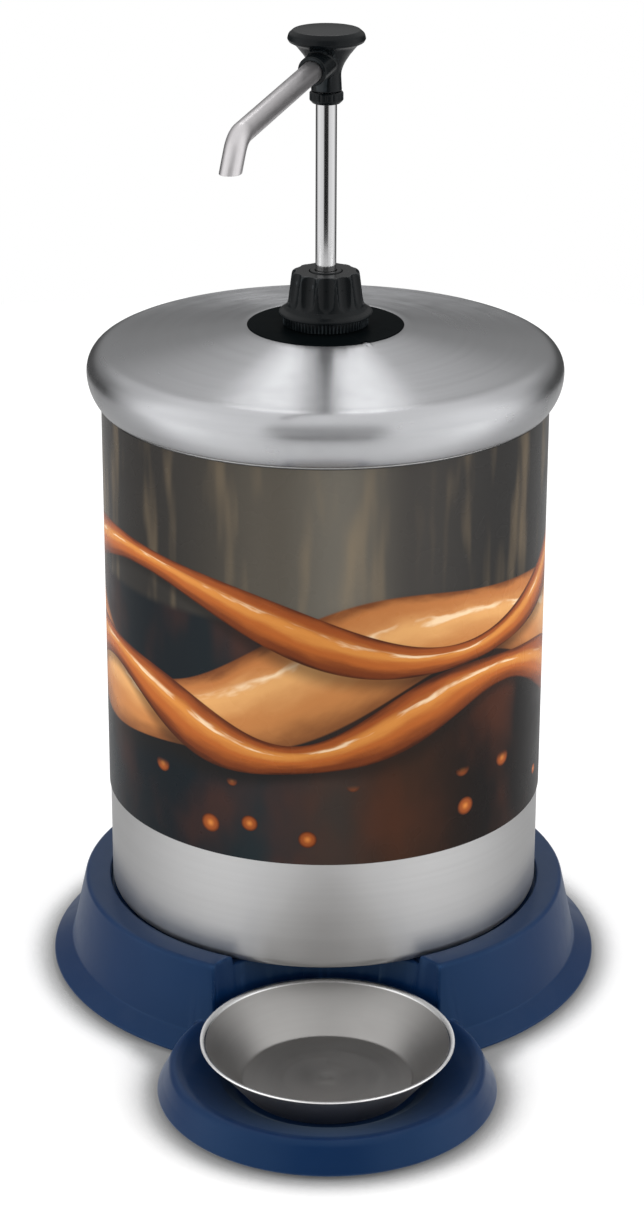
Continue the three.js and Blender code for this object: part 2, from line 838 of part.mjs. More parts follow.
// The spout's centre line, from inside the head out to a length past its bend, in the plane of -Y and Z
function spoutStations(tipLength) {
  const axisHeight = headSleeveBottom + spoutAxisHeight;
  const heightOf = (distance) => axisHeight - distance * Math.tan(spoutSlope);
  const bendTurn = Math.PI / 2 - spoutTipRake - spoutSlope;
  const tangent = spoutBendRadius * Math.tan(bendTurn / 2);
  const bendStart = spoutReach - tangent * Math.cos(spoutSlope);
  const centre = [
    bendStart - spoutBendRadius * Math.sin(spoutSlope),
    heightOf(bendStart) - spoutBendRadius * Math.cos(spoutSlope),
  ];
  const bendRadii = [spoutBendRadius, spoutBendRadius];
  const bend = arc(centre, bendRadii, Math.PI / 2 - spoutSlope, spoutTipRake, arcSteps + 2);
  const tip = [
    spoutReach + tipLength * Math.sin(spoutTipRake),
    heightOf(spoutReach) - tipLength * Math.cos(spoutTipRake),
  ];
  const start = [spoutStart, heightOf(spoutStart)];
  return [start, ...bend, tip].map(([distance, height]) => new THREE.Vector3(0, -distance, height));
}

// The spout's outlet is cut level, so the tube is made longer and what lies below the outlet comes off
function spoutTube() {
  const spare = spoutRadius * Math.tan(spoutTipRake) + cutOverrun;
  const longTube = along(spoutStations(spoutTipLength + spare), spoutRadius, spoutRadius - spoutWall, tubeSides);
  const outlet = spoutStations(spoutTipLength).at(-1).z;
  return cut(longTube, rod(2 * spoutReach, outlet - 2 * spare, outlet, tubeSides));
}

// A straight round bar from the head's axis along the spout's first run
function alongSpoutRoot(radius, start, end) {
  return rod(radius, start, end, tubeSides)
    .rotateX(Math.PI / 2 + spoutSlope)
    .translate(0, 0, headSleeveBottom + spoutAxisHeight);
}

// The head: a press knob on a trumpet-shaped neck, with a sleeve for the tube and a socket for the spout
function pumpHead() {
  const waist = headSleeveBottom + headWaistHeight;
  const throat = waist + headThroatHeight;
  const under = throat + knobUnderHeight;
  const rim = under + knobRimHeight;
  const top = rim + knobTopHeight;
  const flare = headThroatRadius - headWaistRadius;
  const [throatOut, throatUp] = headThroatShares;
  const [crownOut, crownUp] = knobCrownShares;
  const crownRadius = knobRadius - knobShoulder;
  const shoulder = arc([crownRadius, rim], [knobShoulder, knobTopHeight], 0, Math.PI / 2, arcSteps - 1);
  const bodyOfHead = turned(
    [
      [0, headSleeveBottom],
      [headSleeveRadius, headSleeveBottom],
      [headWaistRadius, waist],
      [headWaistRadius + flare * throatOut, waist + headThroatHeight * throatUp],
      [headThroatRadius, throat],
      [knobUnderRadius, under],
      [knobRadius - knobRimHeight / 3, rim - knobRimHeight / 2],
      ...shoulder,
      [crownRadius * crownOut, top + knobCrown * crownUp],
      [0, top + knobCrown],
    ],
    pumpSides,
  );
  const socket = alongSpoutRoot(spoutRadius + fitGap + socketWall, 0, socketReach);
  const tubeSocket = rod(tubeBore, headSleeveBottom - cutOverrun, plungerTop + fitGap, pumpSides);
  const riser = rod(tubeRadius - tubeWall, headSleeveBottom, headSleeveBottom + spoutAxisHeight, tubeSides);
  const spoutBore = alongSpoutRoot(spoutRadius + fitGap, spoutStart - fitGap, socketReach + cutOverrun);
  const passage = alongSpoutRoot(spoutRadius - spoutWall, 0, socketReach);
  return cut(joined(bodyOfHead, socket), tubeSocket, riser, spoutBore, passage);
}

// The label lies round the can, from above a bare band up to just under the lid
function labelWrap() {
  const inner = canRadius + fitGap;
  const low = canBottom + labelFootMargin;
  return ring(inner, inner + labelThickness, low, lidBottom - labelHeadMargin, largeSides);
}

function mesh(name, shape, material) {
  const made = new THREE.Mesh(asGeometry(shape), material);
  made.name = name;
  return made;
}

function group(...members) {
  const made = new THREE.Group();
  made.add(...members);
  return made;
}

// The pieces, grouped as they move
const { navyPlastic, blackPlastic, brushedSteel, polishedSteel, labelPaper } = materials;
const { rubber, whitePlastic } = materials;
const feet = footPlaces().map(([x, y], i) => {
  const made = mesh(`foot_${i + 1}`, foot(), rubber);
  made.position.set(x, y, 0);
  return made;
});
const base = group(mesh("base_shell", baseShell(), navyPlastic), ...feet);
const dish = group(mesh("drip_dish", dripDish(), brushedSteel));
const can = group(mesh("canister", canister(), brushedSteel), mesh("label_wrap", labelWrap(), labelPaper));
const lidAssembly = group(
  mesh("lid", lid(), brushedSteel),
  mesh("lid_adapter", lidAdapter(), blackPlastic),
  mesh("adapter_gasket", adapterGasket(), rubber),
  mesh("clamp_ring", clampRing(), blackPlastic),
  mesh("guide_bush", guideBush(), blackPlastic),
  mesh("wiper_ring", wiperRing(), rubber),
  mesh("pump_cylinder", pumpCylinder(), whitePlastic),
  mesh("cylinder_gasket", cylinderGasket(), rubber),
  mesh("foot_valve", footValve(), whitePlastic),
  mesh("dip_tube", dipTube(), whitePlastic),
  mesh("return_spring", returnSpring(), polishedSteel),
);
const collar = group(mesh("locking_collar", lockingCollar(), blackPlastic));
const intake = group(mesh("intake_ball", intakeBall(), polishedSteel));
const discharge = group(mesh("discharge_ball", dischargeBall(), polishedSteel));
const pistonAssembly = group(
  mesh("piston", piston(), whitePlastic),
  mesh("piston_seal", pistonSeal(), rubber),
);
const plunger = group(
  mesh("plunger_tube", plungerTube(), polishedSteel),
  mesh("head_nut", headNut(), blackPlastic),
  mesh("pump_head", pumpHead(), blackPlastic),
  mesh("spout_tube", spoutTube(), polishedSteel),
);
plunger.rotation.z = -spoutSwing;

// The origin is on the ground, in the middle of the dispenser's length and width
const dispenser = group(base, dish, can, lidAssembly, collar, intake, discharge, pistonAssembly, plunger);
const frontReach = lobeOffset + lobeRadius;
dispenser.position.y = (frontReach - baseRadius) / 2;

export default group(dispenser);
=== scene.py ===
"""The looks of a countertop syrup dispenser: a steel can with a lift-off lid and a hand pump,
in a navy moulded base whose front lobe holds a drip saucer. Sizes are millimetres until a
mesh is made, and heights are above the counter."""
import math

import bmesh
import bpy
from mathutils import Matrix, Vector


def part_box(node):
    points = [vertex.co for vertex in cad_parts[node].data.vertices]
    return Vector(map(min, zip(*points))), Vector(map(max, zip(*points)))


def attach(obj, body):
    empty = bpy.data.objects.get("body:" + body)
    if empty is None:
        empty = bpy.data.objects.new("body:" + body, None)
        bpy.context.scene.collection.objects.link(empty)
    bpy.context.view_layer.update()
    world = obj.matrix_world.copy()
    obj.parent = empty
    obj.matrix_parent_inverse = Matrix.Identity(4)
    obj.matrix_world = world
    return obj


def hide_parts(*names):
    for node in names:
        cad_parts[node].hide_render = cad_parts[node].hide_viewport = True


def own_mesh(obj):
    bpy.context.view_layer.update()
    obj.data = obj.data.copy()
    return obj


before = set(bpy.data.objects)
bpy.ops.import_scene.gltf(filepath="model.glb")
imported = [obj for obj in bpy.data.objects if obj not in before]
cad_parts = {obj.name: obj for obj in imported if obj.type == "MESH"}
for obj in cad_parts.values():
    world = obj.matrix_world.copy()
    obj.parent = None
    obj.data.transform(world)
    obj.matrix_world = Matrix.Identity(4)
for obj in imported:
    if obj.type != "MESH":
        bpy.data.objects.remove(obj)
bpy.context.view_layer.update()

MM = 0.001
can_low, can_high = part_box("canister")
dish_low, dish_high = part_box("drip_dish")
CAN_Y = (can_low.y + can_high.y) / 2 / MM
DISH_Y = (dish_low.y + dish_high.y) / 2 / MM
LARGE, SMALL = 192, 96  # sides of wide and of narrow turned pieces
SMOOTH_BELOW = math.radians(35)
AXIS_Y = CAN_Y * MM
LABEL_LOW, LABEL_HIGH = 103.0, 313.3
RIM_HEIGHT = 46.3


# Outlines

def rounded(corners, closed=True, step=15):
    """Corners of (radius, height) or (radius, height, fillet) as points, with an arc at each fillet."""
    points = []
    count = len(corners)
    for i, corner in enumerate(corners):
        here = Vector(corner[:2])
        fillet = corner[2] if len(corner) > 2 else 0
        if fillet == 0 or (not closed and i in (0, count - 1)):
            points.append(tuple(here))
            continue
        back = Vector(corners[i - 1][:2]) - here
        ahead = Vector(corners[(i + 1) % count][:2]) - here
        half = back.angle(ahead) / 2
        reach = min(fillet / math.tan(half), back.length * 0.49, ahead.length * 0.49)
        radius = reach * math.tan(half)
        centre = here + (back.normalized() + ahead.normalized()).normalized() * (radius / math.sin(half))
        first = here + back.normalized() * reach - centre
        sweep = first.angle_signed(here + ahead.normalized() * reach - centre)
        steps = max(2, round(abs(math.degrees(sweep)) / step))
        for k in range(steps + 1):
            turned_arm = Matrix.Rotation(-sweep * k / steps, 2) @ first
            points.append(tuple(centre + turned_arm))
    return points


def arc(centre, radii, start, end, steps=8):
    """Points on an arc of an ellipse, angles in degrees."""
    turns = [math.radians(start + (end - start) * k / steps) for k in range(steps + 1)]
    return [(centre[0] + radii[0] * math.cos(t), centre[1] + radii[1] * math.sin(t)) for t in turns]


def moved_in(points, wall):
    """An open outline moved sideways by a wall's thickness, to the right of its direction."""
    normals = []
    for a, b in zip(points, points[1:]):
        along = (Vector(b) - Vector(a)).normalized()
        normals.append(Vector((along.y, -along.x)))
    made = []
    for i, point in enumerate(points):
        before, after = normals[max(i - 1, 0)], normals[min(i, len(normals) - 1)]
        shift = (before + after) * (wall / (1 + before.dot(after)))
        made.append((0 if point[0] == 0 else point[0] + shift.x, point[1] + shift.y))
    return made


def moved_corners(corners, wall):
    """Corners of (radius, height, fillet) moved sideways by a wall's thickness, with fillets to suit."""
    points = moved_in([corner[:2] for corner in corners], wall)
    made = [points[0]]
    for i in range(1, len(corners) - 1):
        before = Vector(corners[i][:2]) - Vector(corners[i - 1][:2])
        after = Vector(corners[i + 1][:2]) - Vector(corners[i][:2])
        fillet = corners[i][2] if len(corners[i]) > 2 else 0
        leftwards = before.x * after.y - before.y * after.x > 0
        made.append((*points[i], max(fillet + (wall if leftwards else -wall), 0) if fillet else 0))
    return made + [points[-1]]


def sheet_outline(corners, wall):
    """A pressed sheet's closed outline, from its outer face's corners and its thickness."""
    return rounded(corners, False) + rounded(moved_corners(corners, wall), False)[::-1]


# Solids

def put(name, data):
    """A new object in the scene."""
    made = bpy.data.objects.new(name, data)
    bpy.context.scene.collection.objects.link(made)
    return made


def object_of(name, mesh):
    """A mesh as an object, smooth but for its sharper edges."""
    mesh.name = name
    mesh.shade_smooth()
    mesh.set_sharp_from_angle(angle=SMOOTH_BELOW)
    return put(name, mesh)


def built(name, bm):
    """A finished bmesh as an object."""
    mesh = bpy.data.meshes.new(name)
    bm.to_mesh(mesh)
    bm.free()
    return object_of(name, mesh)


def turned(name, outline, sides=SMALL, centre_y=CAN_Y):
    """A closed outline of (radius, height) turned about a vertical axis."""
    bm = bmesh.new()
    turns = [math.tau * k / sides for k in range(sides)]
    rings = []
    for radius, height in outline:
        if radius < 1e-6:
            rings.append([bm.verts.new((0, centre_y * MM, height * MM))])
            continue
        rings.append([bm.verts.new((radius * math.cos(t) * MM, (centre_y + radius * math.sin(t)) * MM,
                                    height * MM)) for t in turns])
    for lower, upper in zip(rings, rings[1:] + rings[:1]):
        for k in range(sides):
            j = (k + 1) % sides
            if len(lower) == 1 and len(upper) == 1:
                continue
            if len(lower) == 1:
                bm.faces.new((lower[0], upper[j], upper[k]))
            elif len(upper) == 1:
                bm.faces.new((lower[k], lower[j], upper[0]))
            else:
                bm.faces.new((lower[k], lower[j], upper[j], upper[k]))
    bmesh.ops.recalc_face_normals(bm, faces=bm.faces)
    return built(name, bm)


def rod_outline(radius, low, high, edge=0):
    return rounded([(0, low), (radius, low, edge), (radius, high, edge), (0, high)])


def ring_outline(bore, radius, low, high, edge=0):
    return rounded([(bore, low, edge), (radius, low, edge), (radius, high, edge), (bore, high, edge)])


def block(name, size, place, turn=0, centre_y=CAN_Y):
    """A box in millimetres, placed and then turned about the vertical axis at centre_y."""
    bm = bmesh.new()
    bmesh.ops.create_cube(bm, size=1)
    bmesh.ops.scale(bm, vec=Vector(size) * MM, verts=bm.verts)
    bmesh.ops.translate(bm, vec=Vector(place) * MM, verts=bm.verts)
    bmesh.ops.rotate(bm, matrix=Matrix.Rotation(math.radians(turn), 3, "Z"), verts=bm.verts)
    bmesh.ops.translate(bm, vec=(0, centre_y * MM, 0), verts=bm.verts)
    return built(name, bm)


def settle(piece):
    """Turns a piece and its modifiers into a plain mesh."""
    shown = piece.evaluated_get(bpy.context.evaluated_depsgraph_get())
    mesh = bpy.data.meshes.new_from_object(shown)
    name = piece.name
    bpy.data.objects.remove(piece)
    return object_of(name, mesh)


def combined(piece, operation, *tools):
    """Joins, cuts or keeps the overlap of a piece and other solids, which are used up."""
    for tool in tools:
        step = piece.modifiers.new("combine", "BOOLEAN")
        step.operation = operation
        step.object = tool
        step.solver = "MANIFOLD"
    made = settle(piece)
    for tool in tools:
        bpy.data.objects.remove(tool)
    return made


def softened(piece, width, segments=3, above=32):
    """Rounds the edges that are sharper than an angle."""
    step = piece.modifiers.new("soften", "BEVEL")
    step.width = width * MM
    step.segments = segments
    step.limit_method = "ANGLE"
    step.angle_limit = math.radians(above)
    step.use_clamp_overlap = False
    step.miter_outer = "MITER_ARC"
    return settle(piece)


# Node trees

class Tree:
    """Short calls for the nodes of one tree."""

    def __init__(self, tree):
        self.tree = tree

    def feed(self, socket, value):
        if isinstance(value, bpy.types.NodeSocket):
            self.tree.links.new(value, socket)
        elif value is not None:
            socket.default_value = value

    def add(self, kind, inputs=None, **settings):
        node = self.tree.nodes.new(kind)
        for key, value in settings.items():
            setattr(node, key, value)
        for key, value in (inputs or {}).items():
            self.feed(node.inputs[key], value)
        return node

    def get(self, kind, inputs=None, **settings):
        """The first output of a new node."""
        return self.add(kind, inputs, **settings).outputs[0]

    def math(self, operation, *values):
        return self.get("ShaderNodeMath", dict(enumerate(values)), operation=operation)

    def plus(self, *values):
        return self.math("ADD", *values)

    def less(self, *values):
        return self.math("SUBTRACT", *values)

    def times(self, *values):
        return self.math("MULTIPLY", *values)

    def over(self, *values):
        return self.math("DIVIDE", *values)

    def split(self, vector):
        return self.add("ShaderNodeSeparateXYZ", {0: vector}).outputs

    def vector(self, x=0.0, y=0.0, z=0.0):
        return self.add("ShaderNodeCombineXYZ", {0: x, 1: y, 2: z}).outputs[0]

    def fade(self, value, start, end, low=0.0, high=1.0):
        """A value's smooth way from low to high, while it goes from start to end."""
        return self.get("ShaderNodeMapRange", dict(enumerate((value, start, end, low, high))),
                        interpolation_type="SMOOTHSTEP")

    def mix(self, share, first, second):
        """A mix of two colours, each a socket, an RGB triple or a grey."""
        first, second = (value if isinstance(value, bpy.types.NodeSocket) else colour_of(value)
                         for value in (first, second))
        return self.add("ShaderNodeMix", {0: share, 6: first, 7: second}, data_type="RGBA").outputs[2]

    def ramp(self, value, stops):
        node = self.add("ShaderNodeValToRGB", {0: value})
        node.color_ramp.interpolation = "EASE"
        while len(node.color_ramp.elements) < len(stops):
            node.color_ramp.elements.new(0.5)
        for element, (place, colour) in zip(node.color_ramp.elements, stops):
            element.position = place
            element.color = colour_of(colour)
        return node.outputs[0]

    def noise(self, vector, scale, detail=2.0, roughness=0.5):
        return self.get("ShaderNodeTexNoise", {"Vector": vector, "Scale": scale, "Detail": detail,
                                               "Roughness": roughness})

    def length(self, x, y):
        return self.math("SQRT", self.plus(self.times(x, x), self.times(y, y)))

    def turn(self, x, y):
        """The angle of a place round the vertical axis, counted from the front."""
        return self.math("ARCTAN2", x, self.times(y, -1))


def colour_of(value):
    """A grey or an RGB triple as an opaque colour."""
    if isinstance(value, (int, float)):
        return (value, value, value, 1)
    return (*value, 1)


def dimmed(colour, share):
    return tuple(c * share for c in colour)


def new_group(name, kind, inputs, outputs, output_type):
    """A node group with named sockets: its tree, the sockets that come in and those that go out. An input
    is given by its type or by its first value."""
    group = bpy.data.node_groups.new(name, kind)
    for label, value in inputs.items():
        socket = value if isinstance(value, str) else "Int" if isinstance(value, int) else "Float"
        made = group.interface.new_socket(label.replace("_", " "), in_out="INPUT",
                                          socket_type="NodeSocket" + socket)
        if value != socket:
            made.default_value = value
    for label in outputs:
        group.interface.new_socket(label, in_out="OUTPUT", socket_type="NodeSocket" + output_type)
    tree = Tree(group)
    into = tree.add("NodeGroupInput").outputs
    out = tree.add("NodeGroupOutput").inputs
    return tree, into, out


def effect(name, *outputs, **inputs):
    """A shader group whose outputs are numbers."""
    return new_group(name, "ShaderNodeTree", inputs, outputs, "Float")


def placed(tree, group, **inputs):
    """A shader group placed in a material, with its own values."""
    node = tree.add("ShaderNodeGroup", node_tree=bpy.data.node_groups[group])
    for key, value in inputs.items():
        tree.feed(node.inputs[key.replace("_", " ")], value)
    return node.outputs


# Effects that several finishes share

def make_around_axis():
    """A point's radius, place round the axis and height on a turned piece, in millimetres."""
    tree, into, out = effect("around axis", "Radius", "Round", "Height", Point="Vector", Axis_Y=0.0)
    x, y, z = tree.split(into["Point"])
    y = tree.less(y, into["Axis Y"])
    radius, turn = tree.length(x, y), tree.turn(x, y)
    tree.feed(out["Radius"], tree.times(radius, 1 / MM))
    tree.feed(out["Round"], tree.times(tree.times(turn, radius), 1 / MM))
    tree.feed(out["Height"], tree.times(z, 1 / MM))


def make_brushing():
    """Fine lines along one direction, with longer and shorter strokes."""
    tree, into, out = effect("brushing", "Lines", "Streaks", Along=0.0, Across=0.0, Depth=0.0, Stroke=60.0,
                             Pitch=0.25)
    along = tree.over(into["Along"], into["Stroke"])
    across = tree.over(into["Across"], into["Pitch"])
    deep = tree.over(into["Depth"], into["Pitch"])
    fine = tree.noise(tree.vector(along, across, deep), 1.0, 3.0, 0.6)
    broad = tree.vector(tree.times(along, 0.4), tree.times(across, 0.12), tree.times(deep, 0.12))
    wide = tree.noise(broad, 1.0)
    tree.feed(out["Lines"], fine)
    tree.feed(out["Streaks"], wide)


def make_handling():
    """Soft smudges and dull patches from hands and cloths."""
    tree, into, out = effect("handling", "Marks", Point="Vector", Size=0.04, Amount=0.5)
    scale = tree.over(1.0, into["Size"])
    broad = tree.noise(into["Point"], scale, 4.0)
    finger = tree.noise(into["Point"], tree.times(scale, 5.0), 1.0)
    both = tree.plus(tree.times(broad, 0.7), tree.times(finger, 0.3))
    marks = tree.fade(both, 0.42, 0.68)
    tree.feed(out["Marks"], tree.times(marks, into["Amount"]))


def make_settled_dust():
    """A thin pale film on what faces up, more in some places than in others."""
    tree, into, out = effect("settled dust", "Dust", Point="Vector", Amount=0.1)
    up = tree.split(tree.add("ShaderNodeNewGeometry").outputs["Normal"])[2]
    patches = tree.fade(tree.noise(into["Point"], 60.0, 5.0, 0.65), 0.35, 0.75)
    facing = tree.fade(up, 0.35, 0.95)
    tree.feed(out["Dust"], tree.times(tree.times(patches, facing), into["Amount"]))


def make_moulded_grain():
    """The fine matt texture of a moulded surface."""
    tree, into, out = effect("moulded grain", "Height", "Mottle", Point="Vector", Grain=0.0006)
    tree.feed(out["Height"], tree.noise(into["Point"], tree.over(1.0, into["Grain"])))
    tree.feed(out["Mottle"], tree.noise(into["Point"], 35.0, 3.0))


def make_worn_and_highlit_edges():
    """Where a piece's outer edges are paler and smoother: partly rubbed wear, partly a painted highlight
    along edges and ridges.
    """
    tree, into, out = effect("rubbed edges", "Rubbed", Point="Vector", Amount=0.5)
    edge = tree.fade(tree.add("ShaderNodeNewGeometry").outputs["Pointiness"], 0.515, 0.56)
    patches = tree.fade(tree.noise(into["Point"], 90.0, 4.0), 0.35, 0.6)
    tree.feed(out["Rubbed"], tree.times(tree.times(edge, patches), into["Amount"]))


def make_syrup_ribbon():
    """A band that sways round the label: how far across it a point is, from -1 to 1, and where it covers."""
    tree, into, out = effect("syrup ribbon", "Across", "Cover", Round=0.0, Up=0.0, Middle=100.0, Sway=20.0,
                             Waves=2.0, Start=0.0, Width=14.0, Swell=0.4)
    turn = tree.times(into["Round"], math.tau)
    wave = tree.plus(tree.times(turn, into["Waves"]), into["Start"])
    middle = tree.plus(into["Middle"], tree.times(tree.math("SINE", wave), into["Sway"]))
    second = tree.math("SINE", tree.plus(tree.times(wave, 2.0), 1.1))
    swell = tree.plus(1.0, tree.times(second, into["Swell"]))
    half = tree.times(into["Width"], swell)
    across = tree.over(tree.less(into["Up"], middle), half)
    tree.feed(out["Across"], across)
    tree.feed(out["Cover"], tree.fade(tree.math("ABSOLUTE", across), 1.0, 0.95))


for make_effect in (make_around_axis, make_brushing, make_handling, make_settled_dust, make_moulded_grain,
                    make_worn_and_highlit_edges, make_syrup_ribbon):
    make_effect()


# Finishes

def finish(name, colour, roughness, metallic=0.0, **fixed):
    """A material with its own Principled shader: its tree, the shader and the point on the object."""
    material = bpy.data.materials.new(name)
    material.use_nodes = True
    material.node_tree.nodes.clear()
    tree = Tree(material.node_tree)
    shader = tree.add("ShaderNodeBsdfPrincipled")
    shader.inputs["Base Color"].default_value = colour_of(colour)
    shader.inputs["Roughness"].default_value = roughness
    shader.inputs["Metallic"].default_value = metallic
    for key, value in fixed.items():
        shader.inputs[key.replace("_", " ")].default_value = value
    tree.add("ShaderNodeOutputMaterial", {"Surface": shader.outputs[0]})
    point = tree.add("ShaderNodeTexCoord").outputs["Object"]
    return material, tree, shader, point


def bumped(tree, shader, height, distance, strength=1.0):
    bump = tree.add("ShaderNodeBump", {"Strength": strength, "Distance": distance * MM, "Height": height})
    tree.feed(shader.inputs["Normal"], bump.outputs[0])


def moulded_plastic(name, colour, worn_and_highlit, roughness, grain=0.6, dust=0.05, **fixed):
    material, tree, shader, point = finish(name, colour, roughness, **fixed)
    texture = placed(tree, "moulded grain", Point=point, Grain=grain * MM)
    marks = placed(tree, "handling", Point=point, Size=0.03, Amount=0.5)[0]
    wear_and_highlight = placed(tree, "rubbed edges", Point=point, Amount=0.8)[0]
    film = placed(tree, "settled dust", Point=point, Amount=dust)[0]
    base = tree.mix(texture["Mottle"], dimmed(colour, 0.86), colour)
    # Edges and ridges turn paler: part wear, part painted highlight.
    base = tree.mix(wear_and_highlight, base, worn_and_highlit)
    base = tree.mix(film, base, (0.42, 0.41, 0.39))
    tree.feed(shader.inputs["Base Color"], base)
    rough = tree.plus(roughness - 0.03, tree.times(marks, 0.12))
    tree.feed(shader.inputs["Roughness"], tree.less(rough, tree.times(wear_and_highlight, 0.1)))
    bumped(tree, shader, texture["Height"], 0.03, 0.5)
    return material


def steel(name, colour, roughness, axis_y, along="round", stroke=60.0, pitch=0.25, depth=0.0, marks=0.5,
          grained=0.0, highlit_lip_above=None, **fixed):
    """Steel brushed or spun round an axis, or drawn upwards or outwards from it. Grained steel spreads its
    glints across the lines, and a lip above a height can be smoother, and paler as a painted highlight."""
    material, tree, shader, point = finish(name, colour, roughness, 1.0, Anisotropic=grained, **fixed)
    if grained:
        shader.inputs["Anisotropic Rotation"].default_value = 0.25
        tangent = tree.get("ShaderNodeTangent", direction_type="RADIAL", axis="Z")
        tree.feed(shader.inputs["Tangent"], tangent)
    place = placed(tree, "around axis", Point=point, Axis_Y=axis_y * MM)
    first, second, third = {"round": ("Round", "Height", "Radius"), "up": ("Height", "Round", "Radius"),
                            "out": ("Radius", "Round", "Height")}[along]
    lines = placed(tree, "brushing", Along=place[first], Across=place[second], Depth=place[third],
                   Stroke=stroke, Pitch=pitch)
    smudges = placed(tree, "handling", Point=point, Size=0.05, Amount=marks)[0]
    base = tree.mix(lines["Streaks"], dimmed(colour, 0.88), colour)
    base = tree.mix(smudges, base, dimmed(colour, 0.93))
    rough = tree.plus(roughness - 0.04, tree.times(lines["Streaks"], 0.08))
    rough = tree.plus(rough, tree.times(smudges, 0.08))
    # A smoother lip, whose paler colour is a painted highlight.
    if highlit_lip_above:
        lip_highlight = tree.fade(place["Height"], highlit_lip_above, highlit_lip_above + 0.4)
        base = tree.mix(lip_highlight, base, 0.95)
        rough = tree.times(rough, tree.math("MULTIPLY_ADD", lip_highlight, -0.5, 1.0))
    tree.feed(shader.inputs["Base Color"], base)
    tree.feed(shader.inputs["Roughness"], rough)
    if depth:
        bumped(tree, shader, lines["Lines"], depth, 0.6)
    return material


def label_print():
    """A printed film wrap: a slate table under a taupe wall, with ribbons and drops of syrup. Heights here
    are millimetres above the wrap's foot."""
    table_edge, drops_end = 126.0, 44.0
    material, tree, shader, point = finish("label_print", (0.1, 0.09, 0.085), 0.3, Specular_IOR_Level=0.12)
    uv = tree.split(tree.get("ShaderNodeUVMap", uv_map="wrap"))
    around, up = uv[0], tree.times(uv[1], LABEL_HIGH - LABEL_LOW)
    turn = tree.times(around, math.tau)
    ring = tree.vector(tree.math("COSINE", turn), tree.math("SINE", turn), uv[1])
    side = tree.fade(tree.math("SINE", tree.less(turn, math.pi)), -0.9, 0.9)
    cloudy = tree.noise(ring, 2.2, 3.0)

    table = tree.ramp(side, [(0.0, (0.003, 0.006, 0.009)), (0.3, (0.012, 0.02, 0.024)),
                             (0.52, (0.034, 0.027, 0.023)), (0.75, (0.034, 0.015, 0.008)),
                             (1.0, (0.004, 0.003, 0.003))])
    glow = tree.times(tree.fade(cloudy, 0.45, 0.75), 0.45)
    table = tree.mix(glow, table, (0.11, 0.03, 0.012))
    wall = tree.ramp(side, [(0.0, (0.02, 0.018, 0.016)), (0.3, (0.085, 0.075, 0.06)),
                            (0.55, (0.14, 0.128, 0.106)), (0.8, (0.05, 0.046, 0.042)),
                            (1.0, (0.02, 0.019, 0.018))])
    lights = tree.noise(tree.vector(tree.times(around, 46.0), tree.times(uv[1], 2.0)), 1.0)
    wall = tree.mix(tree.times(tree.fade(lights, 0.5, 0.75), 0.35), wall, (0.3, 0.22, 0.13))
    base = tree.mix(tree.fade(up, table_edge, table_edge + 5.0), table, wall)

    syrup = [(0.0, (0.05, 0.012, 0.004)), (0.12, (0.16, 0.035, 0.008)), (0.38, (0.42, 0.11, 0.02)),
             (0.6, (0.62, 0.24, 0.05)), (0.82, (0.3, 0.07, 0.014)), (1.0, (0.08, 0.018, 0.006))]
    caramel = [(0.0, (0.2, 0.07, 0.022)), (0.3, (0.5, 0.2, 0.06)), (0.6, (0.7, 0.36, 0.13)),
               (0.85, (0.46, 0.17, 0.05)), (1.0, (0.16, 0.05, 0.016))]
    for middle, sway, waves, start, width, swell, stops in (
            (96.0, 26.0, 2.0, 0.3, 25.0, 0.3, caramel),
            (74.0, 17.0, 3.0, 2.2, 12.0, 0.35, syrup),
            (128.0, 22.0, 2.0, 3.6, 10.0, 0.4, syrup)):
        ribbon = placed(tree, "syrup ribbon", Round=around, Up=up, Middle=middle, Sway=sway, Waves=waves,
                        Start=start, Width=width, Swell=swell)
        across = tree.math("MULTIPLY_ADD", ribbon["Across"], 0.5, 0.5)
        flow = tree.noise(tree.vector(tree.times(around, 30.0), tree.times(across, 5.0), middle), 1.0, 3.0)
        shifted = tree.plus(across, tree.math("MULTIPLY_ADD", flow, 0.24, -0.12))
        body = tree.ramp(shifted, stops)
        from_glint = tree.math("ABSOLUTE", tree.less(shifted, 0.68))
        gloss = tree.times(tree.fade(from_glint, 0.07, 0.02), tree.fade(flow, 0.45, 0.62))
        body = tree.mix(tree.times(gloss, 0.7), body, (0.95, 0.75, 0.5))
        shade = tree.fade(tree.math("ABSOLUTE", tree.plus(ribbon["Across"], 0.35)), 1.5, 0.7)
        base = tree.mix(tree.times(shade, 0.6), base, (0.008, 0.006, 0.005))
        base = tree.mix(ribbon["Cover"], base, body)

    cells = tree.vector(tree.times(around, 26.0), tree.over(up, 27.0), 0.5)
    drops = tree.add("ShaderNodeTexVoronoi", {"Scale": 1.0, "Randomness": 0.8, "Vector": cells},
                     voronoi_dimensions="2D")
    chosen = tree.split(drops.outputs["Color"])
    size = tree.math("MULTIPLY_ADD", chosen[0], 0.12, 0.08)
    inside = tree.over(drops.outputs["Distance"], size)
    some = tree.times(tree.math("GREATER_THAN", chosen[1], 0.6), tree.fade(up, drops_end, drops_end - 6.0))
    drop = tree.times(tree.fade(inside, 1.0, 0.9), some)
    bead = tree.ramp(inside, [(0.0, (0.6, 0.2, 0.04)), (0.55, (0.3, 0.07, 0.014)),
                              (1.0, (0.06, 0.014, 0.005))])
    base = tree.mix(drop, base, bead)
    tree.feed(shader.inputs["Base Color"], base)
    marks = placed(tree, "handling", Point=point, Size=0.06, Amount=0.6)[0]
    tree.feed(shader.inputs["Roughness"], tree.plus(0.27, tree.times(marks, 0.1)))
    return material


def rubber(name, colour):
    material, tree, shader, point = finish(name, colour, 0.72)
    texture = placed(tree, "moulded grain", Point=point, Grain=0.0004)
    film = placed(tree, "settled dust", Point=point, Amount=0.15)[0]
    base = tree.mix(texture["Mottle"], dimmed(colour, 0.7), colour)
    tree.feed(shader.inputs["Base Color"], tree.mix(film, base, 0.3))
    bumped(tree, shader, texture["Height"], 0.04, 0.6)
    return material
